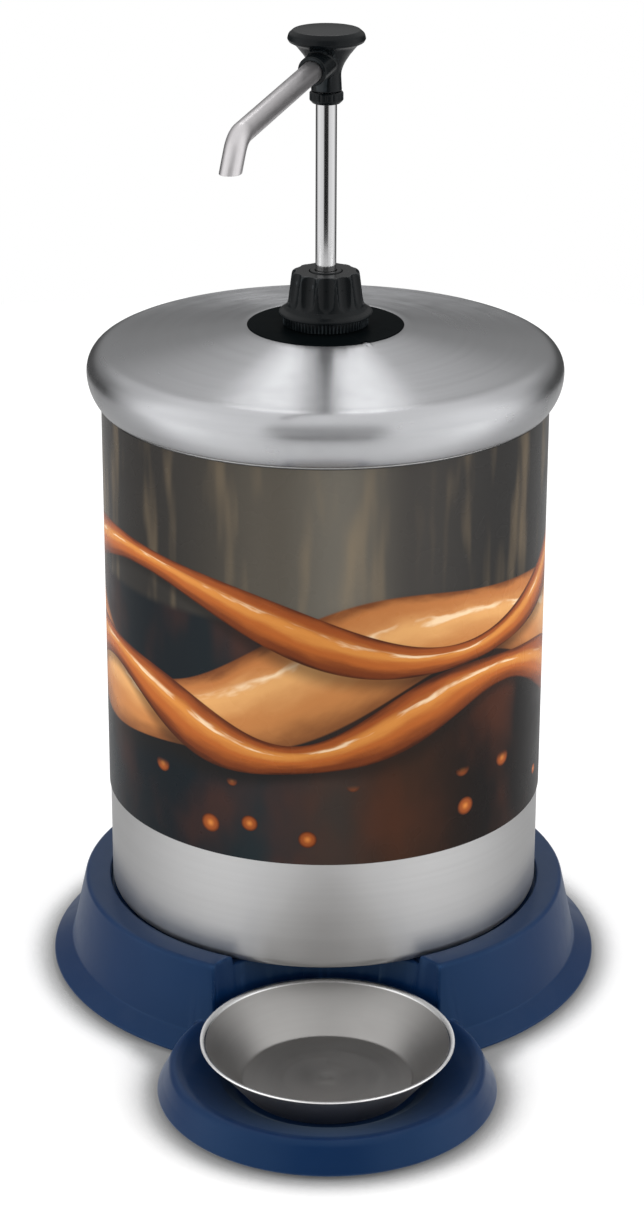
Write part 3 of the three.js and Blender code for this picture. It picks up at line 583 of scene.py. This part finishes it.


# The second colour of each plastic is its paler edge colour: part wear, part painted highlight on edges and
# flute ridges.
NAVY = moulded_plastic("navy_plastic", (0.0011, 0.0158, 0.065), (0.02, 0.055, 0.14), 0.32, 0.7, 0.01,
                       Specular_IOR_Level=0.28, Specular_Tint=(0.5, 0.78, 1.0, 1.0), Sheen_Weight=0.13,
                       Sheen_Roughness=0.35, Sheen_Tint=(0.6, 0.8, 1.0, 1.0))
BLACK = moulded_plastic("black_plastic", (0.0028, 0.0042, 0.0052), (0.03, 0.036, 0.04), 0.26, 0.5, 0.01,
                        Specular_IOR_Level=0.15)
GLOSS_BLACK = moulded_plastic("gloss_black_plastic", (0.0026, 0.004, 0.0046), (0.01, 0.01, 0.012), 0.35, 0.5,
                              0.0, Specular_IOR_Level=0.005)
NATURAL = moulded_plastic("natural_plastic", (0.72, 0.71, 0.65), (0.8, 0.79, 0.74), 0.38, 0.8, 0.02,
                          Subsurface_Weight=0.2, Subsurface_Scale=0.003)
CAN_STEEL = steel("can_steel", (0.63, 0.63, 0.63), 0.38, CAN_Y, stroke=70.0, pitch=0.3, depth=0.006,
                  grained=0.3)
LID_STEEL = steel("lid_steel", (0.51, 0.515, 0.53), 0.23, CAN_Y, stroke=50.0, pitch=0.4, depth=0.0002,
                  grained=0.95)
DISH_STEEL = steel("saucer_steel", (0.42, 0.41, 0.4), 0.43, DISH_Y, stroke=30.0, pitch=0.35, depth=0.004,
                   grained=0.2, highlit_lip_above=28.2)
BRIGHT_STEEL = steel("bright_steel", (0.57, 0.57, 0.575), 0.1, CAN_Y, along="up", stroke=30.0, pitch=0.3,
                     depth=0.001, marks=0.2)
SATIN_STEEL = steel("satin_steel", (0.63, 0.61, 0.62), 0.33, CAN_Y, along="out", stroke=30.0, pitch=0.3,
                    marks=0.3)
LABEL = label_print()
SEAL_RUBBER = rubber("seal_rubber", (0.03, 0.03, 0.032))
FOOT_RUBBER = rubber("foot_rubber", (0.035, 0.035, 0.038))


def fit(piece, node, body, material):
    """Gives a piece its finish, puts it on its body and lets it stand for a CAD node."""
    piece.data.materials.clear()
    piece.data.materials.append(material)
    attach(piece, body)
    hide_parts(node)
    return piece


# Geometry Nodes

def geometry_group(name, **inputs):
    return new_group(name, "GeometryNodeTree", {"Geometry": "Geometry", **inputs, "Material": "Material"},
                     ["Geometry"], "Geometry")


def end_with(tree, into, out, *parts):
    """Ends a tree with its parts joined, made real and given their material."""
    whole = parts[0]
    if len(parts) > 1:
        join = tree.add("GeometryNodeJoinGeometry")
        for part in parts:
            tree.feed(join.inputs[0], part)
        whole = join.outputs[0]
    real = tree.get("GeometryNodeRealizeInstances", {0: whole})
    painted = tree.get("GeometryNodeSetMaterial", {"Geometry": real, "Material": into["Material"]})
    tree.feed(out["Geometry"], painted)


def worked(piece, group, **values):
    """A piece after a Geometry Nodes tree with these values, as a plain mesh."""
    step = piece.modifiers.new(group, "NODES")
    step.node_group = bpy.data.node_groups[group]
    sockets = {s.name: s.identifier for s in step.node_group.interface.items_tree if s.in_out == "INPUT"}
    for key, value in values.items():
        step[sockets[key.replace("_", " ")]] = value
    return settle(piece)


def make_fluted():
    """Grooves round a turned piece, each cut by a ball-ended cutter that leans with the piece's side."""
    tree, into, out = geometry_group("fluted", Axis_Y=0.0, Count=12.0, Cutter=0.006, Reach=0.018, Low=0.0,
                                     Lean=0.0, Soft=0.0004, Inner=0.0)
    x, y, z = tree.split(tree.get("GeometryNodeInputPosition"))
    y = tree.less(y, into["Axis Y"])
    radius, turn = tree.length(x, y), tree.turn(x, y)
    pitch = tree.over(math.tau, into["Count"])
    off = tree.less(turn, tree.times(pitch, tree.math("ROUND", tree.over(turn, pitch))))
    above = tree.less(z, into["Low"])
    below = tree.math("MINIMUM", above, 0.0)
    square = tree.less(tree.times(into["Cutter"], into["Cutter"]), tree.times(below, below))
    centre = tree.plus(into["Reach"], tree.less(into["Cutter"], tree.times(above, into["Lean"])))
    sideways = tree.times(centre, tree.math("SINE", off))
    left = tree.less(square, tree.times(sideways, sideways))
    surface = tree.less(tree.times(centre, tree.math("COSINE", off)),
                        tree.math("SQRT", tree.math("MAXIMUM", left, 0.0)))
    missed = tree.math("LESS_THAN", left, 0.0)
    cutter = tree.plus(surface, tree.times(missed, 0.01))
    cut = tree.math("SMOOTH_MIN", radius, cutter, into["Soft"])
    keep = tree.math("LESS_THAN", radius, into["Inner"])
    share = tree.over(tree.math("MAXIMUM", cut, into["Inner"]), radius)
    share = tree.plus(tree.times(share, tree.less(1.0, keep)), keep)
    place = tree.vector(tree.times(x, share), tree.plus(tree.times(y, share), into["Axis Y"]), z)
    moved = tree.get("GeometryNodeSetPosition", {"Geometry": into["Geometry"], "Position": place})
    end_with(tree, into, out, moved)


def make_knurled():
    """Fine upright ribs set round a ring."""
    tree, into, out = geometry_group("knurled", Axis_Y=0.0, Count=60, Radius=0.02, Rib=0.0005, Low=0.0,
                                     Height=0.005)
    circle = tree.get("GeometryNodeMeshCircle", {"Vertices": into["Count"], "Radius": into["Radius"]})
    rib = tree.get("GeometryNodeMeshCylinder", {"Vertices": 8, "Radius": into["Rib"],
                                                "Depth": into["Height"]})
    ribs = tree.get("GeometryNodeInstanceOnPoints", {"Points": circle, "Instance": rib})
    middle = tree.math("MULTIPLY_ADD", into["Height"], 0.5, into["Low"])
    place = tree.vector(0.0, into["Axis Y"], middle)
    ribs = tree.get("GeometryNodeTransform", {"Geometry": ribs, "Translation": place})
    end_with(tree, into, out, ribs, into["Geometry"])


def make_bent_tube():
    """A tube along a path with rounded bends, open at both ends."""
    tree, into, out = geometry_group("bent tube", Radius=0.0053, Wall=0.001, Bend=0.014)
    path = tree.get("GeometryNodeFilletCurve", {"Curve": into["Geometry"], "Count": 24,
                                                "Radius": into["Bend"]}, mode="POLY")
    bore = tree.less(into["Radius"], into["Wall"])
    skins = []
    for radius in (into["Radius"], bore):
        section = tree.get("GeometryNodeCurvePrimitiveCircle", {"Resolution": 48, "Radius": radius})
        skins.append(tree.get("GeometryNodeCurveToMesh", {"Curve": path, "Profile Curve": section,
                                                          "Fill Caps": False}))
    inner = tree.get("GeometryNodeFlipFaces", {"Mesh": skins[1]})
    end_with(tree, into, out, skins[0], inner)


def make_coil():
    """A compression spring's wire, wound between two heights."""
    tree, into, out = geometry_group("coil", Axis_Y=0.0, Low=0.0, High=0.1, Turns=10.0, Radius=0.009,
                                     Wire=0.0008)
    height = tree.less(into["High"], into["Low"])
    wire = tree.get("GeometryNodeCurveSpiral", {"Resolution": 32, "Rotations": into["Turns"],
                                                "Start Radius": into["Radius"], "End Radius": into["Radius"],
                                                "Height": height})
    section = tree.get("GeometryNodeCurvePrimitiveCircle", {"Resolution": 12, "Radius": into["Wire"]})
    body = tree.get("GeometryNodeCurveToMesh", {"Curve": wire, "Profile Curve": section, "Fill Caps": True})
    place = tree.vector(0.0, into["Axis Y"], into["Low"])
    body = tree.get("GeometryNodeTransform", {"Geometry": body, "Translation": place})
    end_with(tree, into, out, body)


for make_tree in (make_fluted, make_knurled, make_bent_tube, make_coil):
    make_tree()


# Base

PEDESTAL = [(0, 42), (115.4, 42, 0.8), (115.4, RIM_HEIGHT, 1.2), (128.97, RIM_HEIGHT, 3), (136.9, 9.9, 2.2),
            (147.1, 3.3, 1.4), (147.1, 1.5)]
LOBE = [(0, 5.4), (46.5, 5.4, 4), (54, 10.4, 6), (72.5, 16.4, 10), (76.6, 17.15, 3.5), (79.2, 14.9, 5),
        (82.3, 8.4, 12), (85.2, 3.1, 1.4), (85.3, 1.5)]


def filled_below(corners, depth, level):
    inner = rounded(moved_corners(corners, depth), False)[:-1]
    foot = corners[-1][0] - depth
    return inner + [(foot, level), (0, level)]


def base_core(name, depth, level):
    """The base's solid at a depth under its skin: the pedestal less the saucer's pocket, and the lobe."""
    pedestal = turned(name, filled_below(PEDESTAL, depth, level), LARGE)
    pocket_radius, lean, spare = 73.4 + depth, 4.4 / 29.3, 5
    low, high = level - spare, RIM_HEIGHT + spare
    pocket = turned("pocket", [(0, low), (pocket_radius - (RIM_HEIGHT - low) * lean, low),
                               (pocket_radius + spare * lean, high), (0, high)], LARGE, DISH_Y)
    lobe = turned("lobe", filled_below(LOBE, depth, level), LARGE, DISH_Y)
    return combined(combined(pedestal, "DIFFERENCE", pocket), "UNION", lobe)


def foot_places():
    ring, lobe_ring, lobe_turn = 126.0, 70.0, math.radians(40)
    places = [(ring * math.cos(math.radians(45 + 90 * k)), CAN_Y + ring * math.sin(math.radians(45 + 90 * k)))
              for k in range(4)]
    return places + [(side * lobe_ring * math.sin(lobe_turn), DISH_Y - lobe_ring * math.cos(lobe_turn))
                     for side in (-1, 1)]


def upright(name, outline, sides, x, y):
    """A turned piece that stands at a place of its own."""
    made = turned(name, outline, sides, y)
    made.data.transform(Matrix.Translation((x * MM, 0, 0)))
    return made


def base_moulding():
    skin = softened(base_core("base_moulding", 0, 1.5), 1.2)
    hollow = base_core("hollow", 3, -3.5)
    shell = combined(skin, "DIFFERENCE", hollow)
    ribs = [block("rib", (260, 2.4, 9), (0, 0, 39.5), 22.5 + 45 * k) for k in range(4)]
    hub = turned("hub", rod_outline(20.4, 35, 44), SMALL)
    bosses = [upright("boss", rod_outline(7.4, 1.5, 44), 32, x, y) for x, y in foot_places()]
    inside = combined(hub, "UNION", *ribs, *bosses)
    inside = combined(inside, "DIFFERENCE", turned("hub_bore", rod_outline(18, 30, 39), SMALL))
    inside = combined(inside, "INTERSECT", base_core("middle", 1.5, 1.5))
    made = combined(shell, "UNION", inside)
    stems = [upright("stem", rod_outline(2.7, -3, 7.8), 32, x, y) for x, y in foot_places()]
    return combined(made, "DIFFERENCE", *stems)


fit(base_moulding(), "base_shell", "base", NAVY)

foot_outline = rounded([(0, 0), (9, 0, 0.4), (9, 1.2, 0.4), (2.4, 1.2, 0.2), (2.4, 7.5, 0.5), (0, 7.5)])
for i, (x, y) in enumerate(foot_places()):
    fit(upright(f"rubber_foot_{i + 1}", foot_outline, 48, x, y), f"foot_{i + 1}", "base", FOOT_RUBBER)

SAUCER = [(0, 5.7), (43.4, 5.7, 3.2), (62.1, 28.5, 1.6), (63.8, 29.0)]
saucer = turned("drip_saucer", sheet_outline(SAUCER, -1.0), LARGE, DISH_Y)
fit(softened(saucer, 0.35, 2, 60), "drip_dish", "dish", DISH_STEEL)


# Can and label

CAN = [(0, 42.3), (114.3, 42.3, 6), (114.3, 334.8, 1.5), (115.0, 336, 0.8), (115.0, 339.9)]
can = turned("can_body", sheet_outline(CAN, -1.0), LARGE)
fit(softened(can, 0.3, 2, 60), "canister", "can", CAN_STEEL)


def wrap(name, bore, radius, low, high, sides=288, rows=24):
    """A thin wrap round the can, with its own unrolled map, from the back round and from foot to head."""
    outline = [(radius, low + (high - low) * k / rows) for k in range(rows + 1)]
    outline += [(bore, height) for _, height in reversed(outline)]
    count = len(outline)
    bm = bmesh.new()
    layer = bm.loops.layers.uv.new("wrap")
    turns = [math.tau * (k / sides) for k in range(sides)]
    rings = [[bm.verts.new((-reach * math.sin(t) * MM, (CAN_Y + reach * math.cos(t)) * MM, height * MM))
              for t in turns] for reach, height in outline]
    for i in range(count):
        j = (i + 1) % count
        for k in range(sides):
            n = (k + 1) % sides
            face = bm.faces.new((rings[i][k], rings[i][n], rings[j][n], rings[j][k]))
            places = ((k, i), (k + 1, i), (k + 1, j), (k, j))
            for loop, (u, v) in zip(face.loops, places):
                loop[layer].uv = (u / sides, (outline[v][1] - low) / (high - low))
    bmesh.ops.recalc_face_normals(bm, faces=bm.faces)
    return built(name, bm)


fit(wrap("printed_wrap", 114.6, 115.0, LABEL_LOW, LABEL_HIGH), "label_wrap", "can", LABEL)


# Lid and what it carries

LID = (arc((122.1 - 24.53, 330.3), (24.53, 24.53), -39.5, 0, 10)
       + arc((111.6, 330.3), (10.5, 11.7), 0, 84, 12)[1:]
       + rounded([(112.7, 342.1), (109.5, 342.35, 6), (104, 343.17), (48, 351.51), (44, 352.1), (40, 352.7)],
                 closed=False)[1:])
lid = turned("lid_dome", LID + moved_in(LID, -1.0)[::-1], LARGE)
lid = combined(lid, "UNION", block("key", (3, 3.2, 1), (0, -39.6, 352.05), 30))
fit(softened(lid, 0.3, 2, 60), "lid", "lid_unit", LID_STEEL)

adapter = turned("adapter_disc", rounded([
    (13.9, 348.9, 0.3), (39.7, 346.3, 0.5), (47, 346.3, 0.6), (47, 348.8, 0.4), (39.7, 348.8, 0.3),
    (39.7, 352.9, 0.5), (16.3, 352.9, 0.4), (16.3, 368, 0.6), (13.9, 368, 0.4)]), LARGE)
adapter = combined(adapter, "DIFFERENCE", block("keyway", (3.6, 7.3, 8), (0, -41.05, 355.4), 30))
fit(adapter, "lid_adapter", "lid_unit", GLOSS_BLACK)

ring = turned("knurled_ring", ring_outline(16.6, 21.3, 353.2, 358.3, 0.3), SMALL)
fit(worked(ring, "knurled", Axis_Y=AXIS_Y, Count=72, Radius=21.3 * MM, Rib=0.45 * MM, Low=353.5 * MM,
           Height=4.5 * MM, Material=BLACK), "clamp_ring", "lid_unit", BLACK)


def finely(points, longest=0.8):
    """An outline with extra points, so that no step is longer than a given size."""
    made = []
    for a, b in zip(points, points[1:] + points[:1]):
        steps = max(1, math.ceil((Vector(b) - Vector(a)).length / longest))
        made += [tuple(Vector(a).lerp(Vector(b), k / steps)) for k in range(steps)]
    return made


collar_outline = finely(rounded([
    (16.6, 358.6, 0.3), (23.75, 358.6, 0.3), (23.75, 359.9, 0.8), (21.2, 361.5, 2.0), (19.5, 363.5, 1.5),
    (18.1, 376.5, 8), (17.4, 380.7, 3.2), (8.5, 380.7, 0.3), (8.5, 374.3, 0.2), (16.6, 374.3, 0.2)]))
collar = turned("fluted_collar", collar_outline, 360)
collar = worked(collar, "fluted", Axis_Y=AXIS_Y, Count=12.0, Cutter=6.0 * MM, Reach=17.4 * MM,
                Low=367.5 * MM, Lean=0.17, Soft=0.25 * MM, Inner=13.0 * MM, Material=BLACK)
fit(collar, "locking_collar", "collar", BLACK)

bush = turned("tube_bush", rounded([
    (5.6, 371.9, 0.2), (15.8, 371.9, 0.3), (15.8, 374, 0.3), (8.2, 374, 0.3), (8.2, 381.2, 0.7),
    (5.6, 381.2, 0.4), (5.6, 378.2), (7.2, 378.2), (7.2, 376), (5.6, 376)]))
fit(bush, "guide_bush", "lid_unit", BLACK)
fit(turned("tube_wiper", ring_outline(5.6, 6.9, 376.3, 377.9, 0.3)), "wiper_ring", "lid_unit", SEAL_RUBBER)
fit(turned("disc_gasket", ring_outline(40, 47, 349.1, 350.3, 0.3), LARGE), "adapter_gasket", "lid_unit",
    SEAL_RUBBER)
fit(turned("neck_gasket", ring_outline(13.9, 16, 368.3, 369.3, 0.3)), "cylinder_gasket", "lid_unit",
    SEAL_RUBBER)

barrel = turned("pump_barrel", rounded([
    (12.2, 215, 0.3), (13.6, 215, 0.3), (13.6, 369.6, 0.5), (15.8, 369.6, 0.3), (15.8, 371.6, 0.3),
    (12.2, 371.6, 0.6)]))
fit(barrel, "pump_cylinder", "lid_unit", NATURAL)
valve = turned("valve_body", rounded([
    (2.6, 196.2, 0.4), (3.9, 196.2, 0.3), (4.2, 199.5, 0.3), (3.8, 200, 0.2), (4.2, 203.5, 0.3),
    (3.8, 204, 0.2), (4.2, 207.5, 0.3), (3.9, 208, 0.2), (4.0, 212.2, 0.4), (13.6, 212.2, 0.4),
    (13.6, 214.7, 0.3), (11.9, 214.7, 0.3), (11.9, 222.5, 0.6), (5.1, 222.5, 0.4), (5.1, 217.4, 0.4),
    (2.6, 212.9, 0.3)]))
fit(valve, "foot_valve", "lid_unit", NATURAL)


def dip_tube():
    made = turned("pickup_tube", ring_outline(4.5, 6.0, 48.3, 211.9, 0.3), 64)
    slope = math.atan2(3.0, 4.5)
    cutter = block("mouth", (30, 30, 15), (0, 0, -7.5), 0, 0)
    cutter.data.transform(Matrix.Translation((0, AXIS_Y, 49.8 * MM)) @ Matrix.Rotation(slope, 4, "X"))
    return combined(made, "DIFFERENCE", cutter)


fit(dip_tube(), "dip_tube", "lid_unit", NATURAL)

spring = worked(built("return_coil", bmesh.new()), "coil", Axis_Y=AXIS_Y, Low=223.6 * MM, High=331.1 * MM,
                Turns=10.0, Radius=9.0 * MM, Wire=0.8 * MM, Material=BRIGHT_STEEL)
fit(spring, "return_spring", "lid_unit", BRIGHT_STEEL)
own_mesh(spring)


def ball(name, radius, low, high):
    height = (low + high) / 2
    outline = arc((0, height), (radius, radius), -90, 90, 24)
    outline[0], outline[-1] = (0, height - radius), (0, height + radius)
    return turned(name, outline, 48)


intake_low, intake_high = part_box("intake_ball")
fit(ball("intake_bead", 4.5, intake_low.z / MM, intake_high.z / MM), "intake_ball", "intake", BRIGHT_STEEL)
out_low, out_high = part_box("discharge_ball")
fit(ball("outlet_bead", 3.6, out_low.z / MM, out_high.z / MM), "discharge_ball", "discharge", BRIGHT_STEEL)

plug = turned("pump_piston", rounded([
    (2.3, 332.3, 0.3), (11.4, 332.3, 0.6), (11.4, 337.3, 0.2), (9.4, 337.3, 0.2), (9.4, 340.9, 0.2),
    (11.4, 340.9, 0.2), (11.4, 352.3, 0.6), (5.6, 352.3, 0.4), (5.6, 343.5, 0.2), (4.2, 343.5, 0.2),
    (4.2, 341.5, 0.4), (2.3, 337.3, 0.3)]))
fit(plug, "piston", "piston_unit", NATURAL)
fit(turned("piston_cup", ring_outline(9.7, 11.9, 337.6, 340.6, 0.4)), "piston_seal", "piston_unit",
    SEAL_RUBBER)


# Plunger, head and spout

fit(turned("rising_tube", ring_outline(4.3, 5.3, 343.8, 481.8, 0.25)), "plunger_tube", "plunger",
    BRIGHT_STEEL)

nut = turned("tube_nut", finely(rounded([
    (5.6, 466.5, 0.3), (6.9, 466.5, 0.5), (8.5, 468.2, 1.0), (8.5, 471.7, 0.8), (7.7, 472.5, 0.4),
    (5.6, 472.5, 0.3)]), 0.5), 240)
nut = worked(nut, "fluted", Axis_Y=AXIS_Y, Count=16.0, Cutter=0.9 * MM, Reach=8.2 * MM, Low=469.0 * MM,
             Lean=0.0, Soft=0.2 * MM, Inner=6.0 * MM, Material=BLACK)
fit(nut, "head_nut", "plunger", BLACK)

SPOUT_TURN, SPOUT_SLOPE, SPOUT_RAKE = math.radians(-20), math.radians(5.67), math.radians(32)
SPOUT_LEVEL = 488.4


def along_spout(distance, height):
    """A point in the spout's upright plane, from the pump's axis outwards."""
    return (distance * math.sin(SPOUT_TURN) * MM, (CAN_Y - distance * math.cos(SPOUT_TURN)) * MM, height * MM)


def spout():
    reach, tip, spare = 124.3, 17.8, 8
    bend = SPOUT_LEVEL - reach * math.tan(SPOUT_SLOPE)
    outlet = bend - tip * math.cos(SPOUT_RAKE)
    tip += spare
    stops = [along_spout(3.6, SPOUT_LEVEL - 3.6 * math.tan(SPOUT_SLOPE)), along_spout(reach, bend),
             along_spout(reach + tip * math.sin(SPOUT_RAKE), bend - tip * math.cos(SPOUT_RAKE))]
    path = bpy.data.curves.new("spout", "CURVE")
    path.dimensions = "3D"
    line = path.splines.new("POLY")
    line.points.add(len(stops) - 1)
    for point, stop in zip(line.points, stops):
        point.co = (*stop, 1)
    made = worked(put("curved_spout", path), "bent tube", Radius=5.3 * MM, Wall=1.0 * MM, Bend=14.0 * MM,
                  Material=SATIN_STEEL)
    bm = bmesh.new()
    bm.from_mesh(made.data)
    open_edges = [e for e in bm.edges if e.is_boundary]
    for inner in (True, False):
        bmesh.ops.bridge_loops(bm, edges=[e for e in open_edges
                                          if (e.verts[0].co.z > (SPOUT_LEVEL - 12) * MM) == inner])
    bmesh.ops.recalc_face_normals(bm, faces=bm.faces)
    bm.to_mesh(made.data)
    bm.free()
    made = combined(made, "DIFFERENCE", block("below", (600, 600, 30), (0, 0, outlet - 15)))
    return softened(made, 0.4, 3, 50)


fit(spout(), "spout_tube", "plunger", SATIN_STEEL)


def spout_root(name, radius, start, end, edge=0):
    """A round bar from the pump's axis along the spout's first run."""
    made = turned(name, rod_outline(radius, start, end, edge), 64, 0)
    lean = Matrix.Rotation(math.pi / 2 + SPOUT_SLOPE, 4, "X")
    swing = Matrix.Rotation(SPOUT_TURN, 4, "Z")
    made.data.transform(Matrix.Translation((0, AXIS_Y, SPOUT_LEVEL * MM)) @ swing @ lean)
    return made


def press_head():
    crown = [(19.5, 498.6, 0.8), (18.9, 501.0, 2.2), (16.6, 503.0, 1.4), (0, 503.9)]
    body = turned("press_head", rounded([
        (0, 472.8), (7.7, 472.8, 0.6), (7.2, 482, 10), (8.8, 486.4, 14), (11.7, 490.8, 14), (15.6, 495.6, 5),
        (18.6, 497.1, 1.0)] + crown, step=8), SMALL)
    head = combined(body, "UNION", spout_root("socket", 7.4, 0, 22, 0.8))
    head = softened(head, 0.8)
    bores = [spout_root("spout_bore", 5.6, 3.3, 27), spout_root("passage", 4.3, 0, 22),
             turned("tube_socket", rod_outline(5.6, 467.8, 482.1)),
             turned("riser", rod_outline(4.3, 472.8, SPOUT_LEVEL))]
    return combined(head, "DIFFERENCE", *bores)


fit(press_head(), "pump_head", "plunger", BLACK)


# Camera, floor and light

IMAGE_HEIGHT = 1222
LENS_PIXELS = 3160.5
PITCH, TURN, ROLL = math.radians(21.482), math.radians(0.72), math.radians(0.187)
DISTANCE, AIM_HEIGHT, AIM_SIDE = 1667.1, 195.5, 1.37

camera = put("camera", bpy.data.cameras.new("camera"))
bpy.context.scene.camera = camera
camera.data.sensor_width = 36
camera.data.lens = 36 * LENS_PIXELS / IMAGE_HEIGHT
camera.data.clip_end = 20
stand = Vector((-AIM_SIDE, -DISTANCE * math.cos(PITCH), AIM_HEIGHT + DISTANCE * math.sin(PITCH))) * MM
camera.matrix_world = (Matrix.Translation((0, AXIS_Y, 0)) @ Matrix.Rotation(-TURN, 4, "Z")
                       @ Matrix.Translation(stand) @ Matrix.Rotation(math.pi / 2 - PITCH, 4, "X")
                       @ Matrix.Rotation(ROLL, 4, "Z"))


def counter():
    """A white round table, pure white where no shadow falls and greyer close under the object. What the
    object sees of it is painted darker behind, as painted shade."""
    top = turned("counter", [(0, -20), (1300, -20), (1300, 0), (0, 0)], 96)
    material, tree, shader, point = finish("counter_white", (0.8, 0.8, 0.8), 0.6)
    seen = tree.add("ShaderNodeLightPath").outputs["Is Camera Ray"]
    # What the object sees of the floor is painted darker towards the back, as painted shade.
    back = tree.fade(tree.split(point)[1], -0.28, 0.17)
    near = tree.add("ShaderNodeAmbientOcclusion", {"Distance": 0.032}, samples=24).outputs["AO"]
    shade = tree.fade(near, 0.78, 0.98, 0.28, 1.0)
    reflected_with_painted_shade = tree.mix(back, 0.9, 0.45)
    white = tree.mix(seen, reflected_with_painted_shade, tree.mix(shade, 0.0, 0.8))
    tree.feed(shader.inputs["Base Color"], white)
    shader.inputs["Emission Color"].default_value = (1, 1, 1, 1)
    glow = tree.times(shade, 0.3)
    tree.feed(shader.inputs["Emission Strength"], tree.times(seen, glow))
    top.data.materials.append(material)


def studio():
    """A white room for the camera. The object sees pale walls at its sides, a wall behind that pales
    upwards, a duller patch round the camera and a dark gap below it, as in a photographer's tent."""
    world = bpy.data.worlds.new("studio")
    bpy.context.scene.world = world
    world.use_nodes = True
    world.node_tree.nodes.clear()
    tree = Tree(world.node_tree)
    x, y, z = tree.split(tree.add("ShaderNodeTexCoord").outputs["Generated"])
    height = tree.math("MULTIPLY_ADD", z, 0.5, 0.5)
    sideways = tree.math("ABSOLUTE", tree.turn(x, y))
    walls = tree.ramp(tree.over(sideways, math.pi), [(0.0, 0.55), (0.22, 1.15), (0.5, 1.35), (0.6, 0.95)])
    behind = tree.ramp(height, [(0.0, 0.08), (0.5, 0.08), (0.64, 0.34), (0.8, 0.8), (0.95, 1.1)])
    light = tree.mix(tree.fade(sideways, 1.7, 2.3), walls, behind)
    light = tree.mix(tree.fade(height, 0.8, 0.95), light, 1.1)
    screen = tree.times(tree.fade(sideways, 0.6, 0.3), tree.fade(height, 0.52, 0.47))
    light = tree.mix(screen, light, 0.35)
    gap = tree.times(tree.fade(sideways, 0.42, 0.32), tree.fade(height, 0.49, 0.46))
    light = tree.mix(gap, light, 0.03)
    beside = tree.fade(sideways, 0.6, 0.4)
    level = tree.times(tree.fade(height, 0.54, 0.6), tree.fade(height, 0.86, 0.78))
    light = tree.mix(tree.times(beside, level), light, 0.5)
    seen = tree.add("ShaderNodeLightPath").outputs["Is Camera Ray"]
    light = tree.mix(seen, light, 1.0)
    surface = tree.get("ShaderNodeBackground", {"Color": light, "Strength": 1.0})
    tree.add("ShaderNodeOutputWorld", {"Surface": surface})


def soft_box(name, place, size, power, aim_height, mirrored=True):
    """A lamp aimed at the pump's axis. One that isn't mirrored leaves no glint on steel."""
    lamp = bpy.data.lights.new(name, "AREA")
    lamp.shape = "RECTANGLE"
    lamp.size, lamp.size_y = size
    lamp.energy = power
    made = put(name, lamp)
    made.location = place
    aim = Vector((0, AXIS_Y, aim_height)) - made.location
    made.rotation_euler = aim.to_track_quat("-Z", "Y").to_euler()
    made.visible_glossy = mirrored


counter()
studio()
soft_box("left_box", (-1.2, -0.15, 0.4), (0.9, 0.5), 6, 0.08, False)
soft_box("right_box", (1.2, -0.1, 0.4), (0.9, 0.5), 6, 0.08, False)
soft_box("back_left_box", (-0.125, 1.2, 1.45), (0.16, 0.45), 0.5, 0.35)
soft_box("back_right_box", (0.125, 1.2, 1.45), (0.16, 0.45), 0.5, 0.35)

bpy.context.scene.view_settings.view_transform = "Standard"
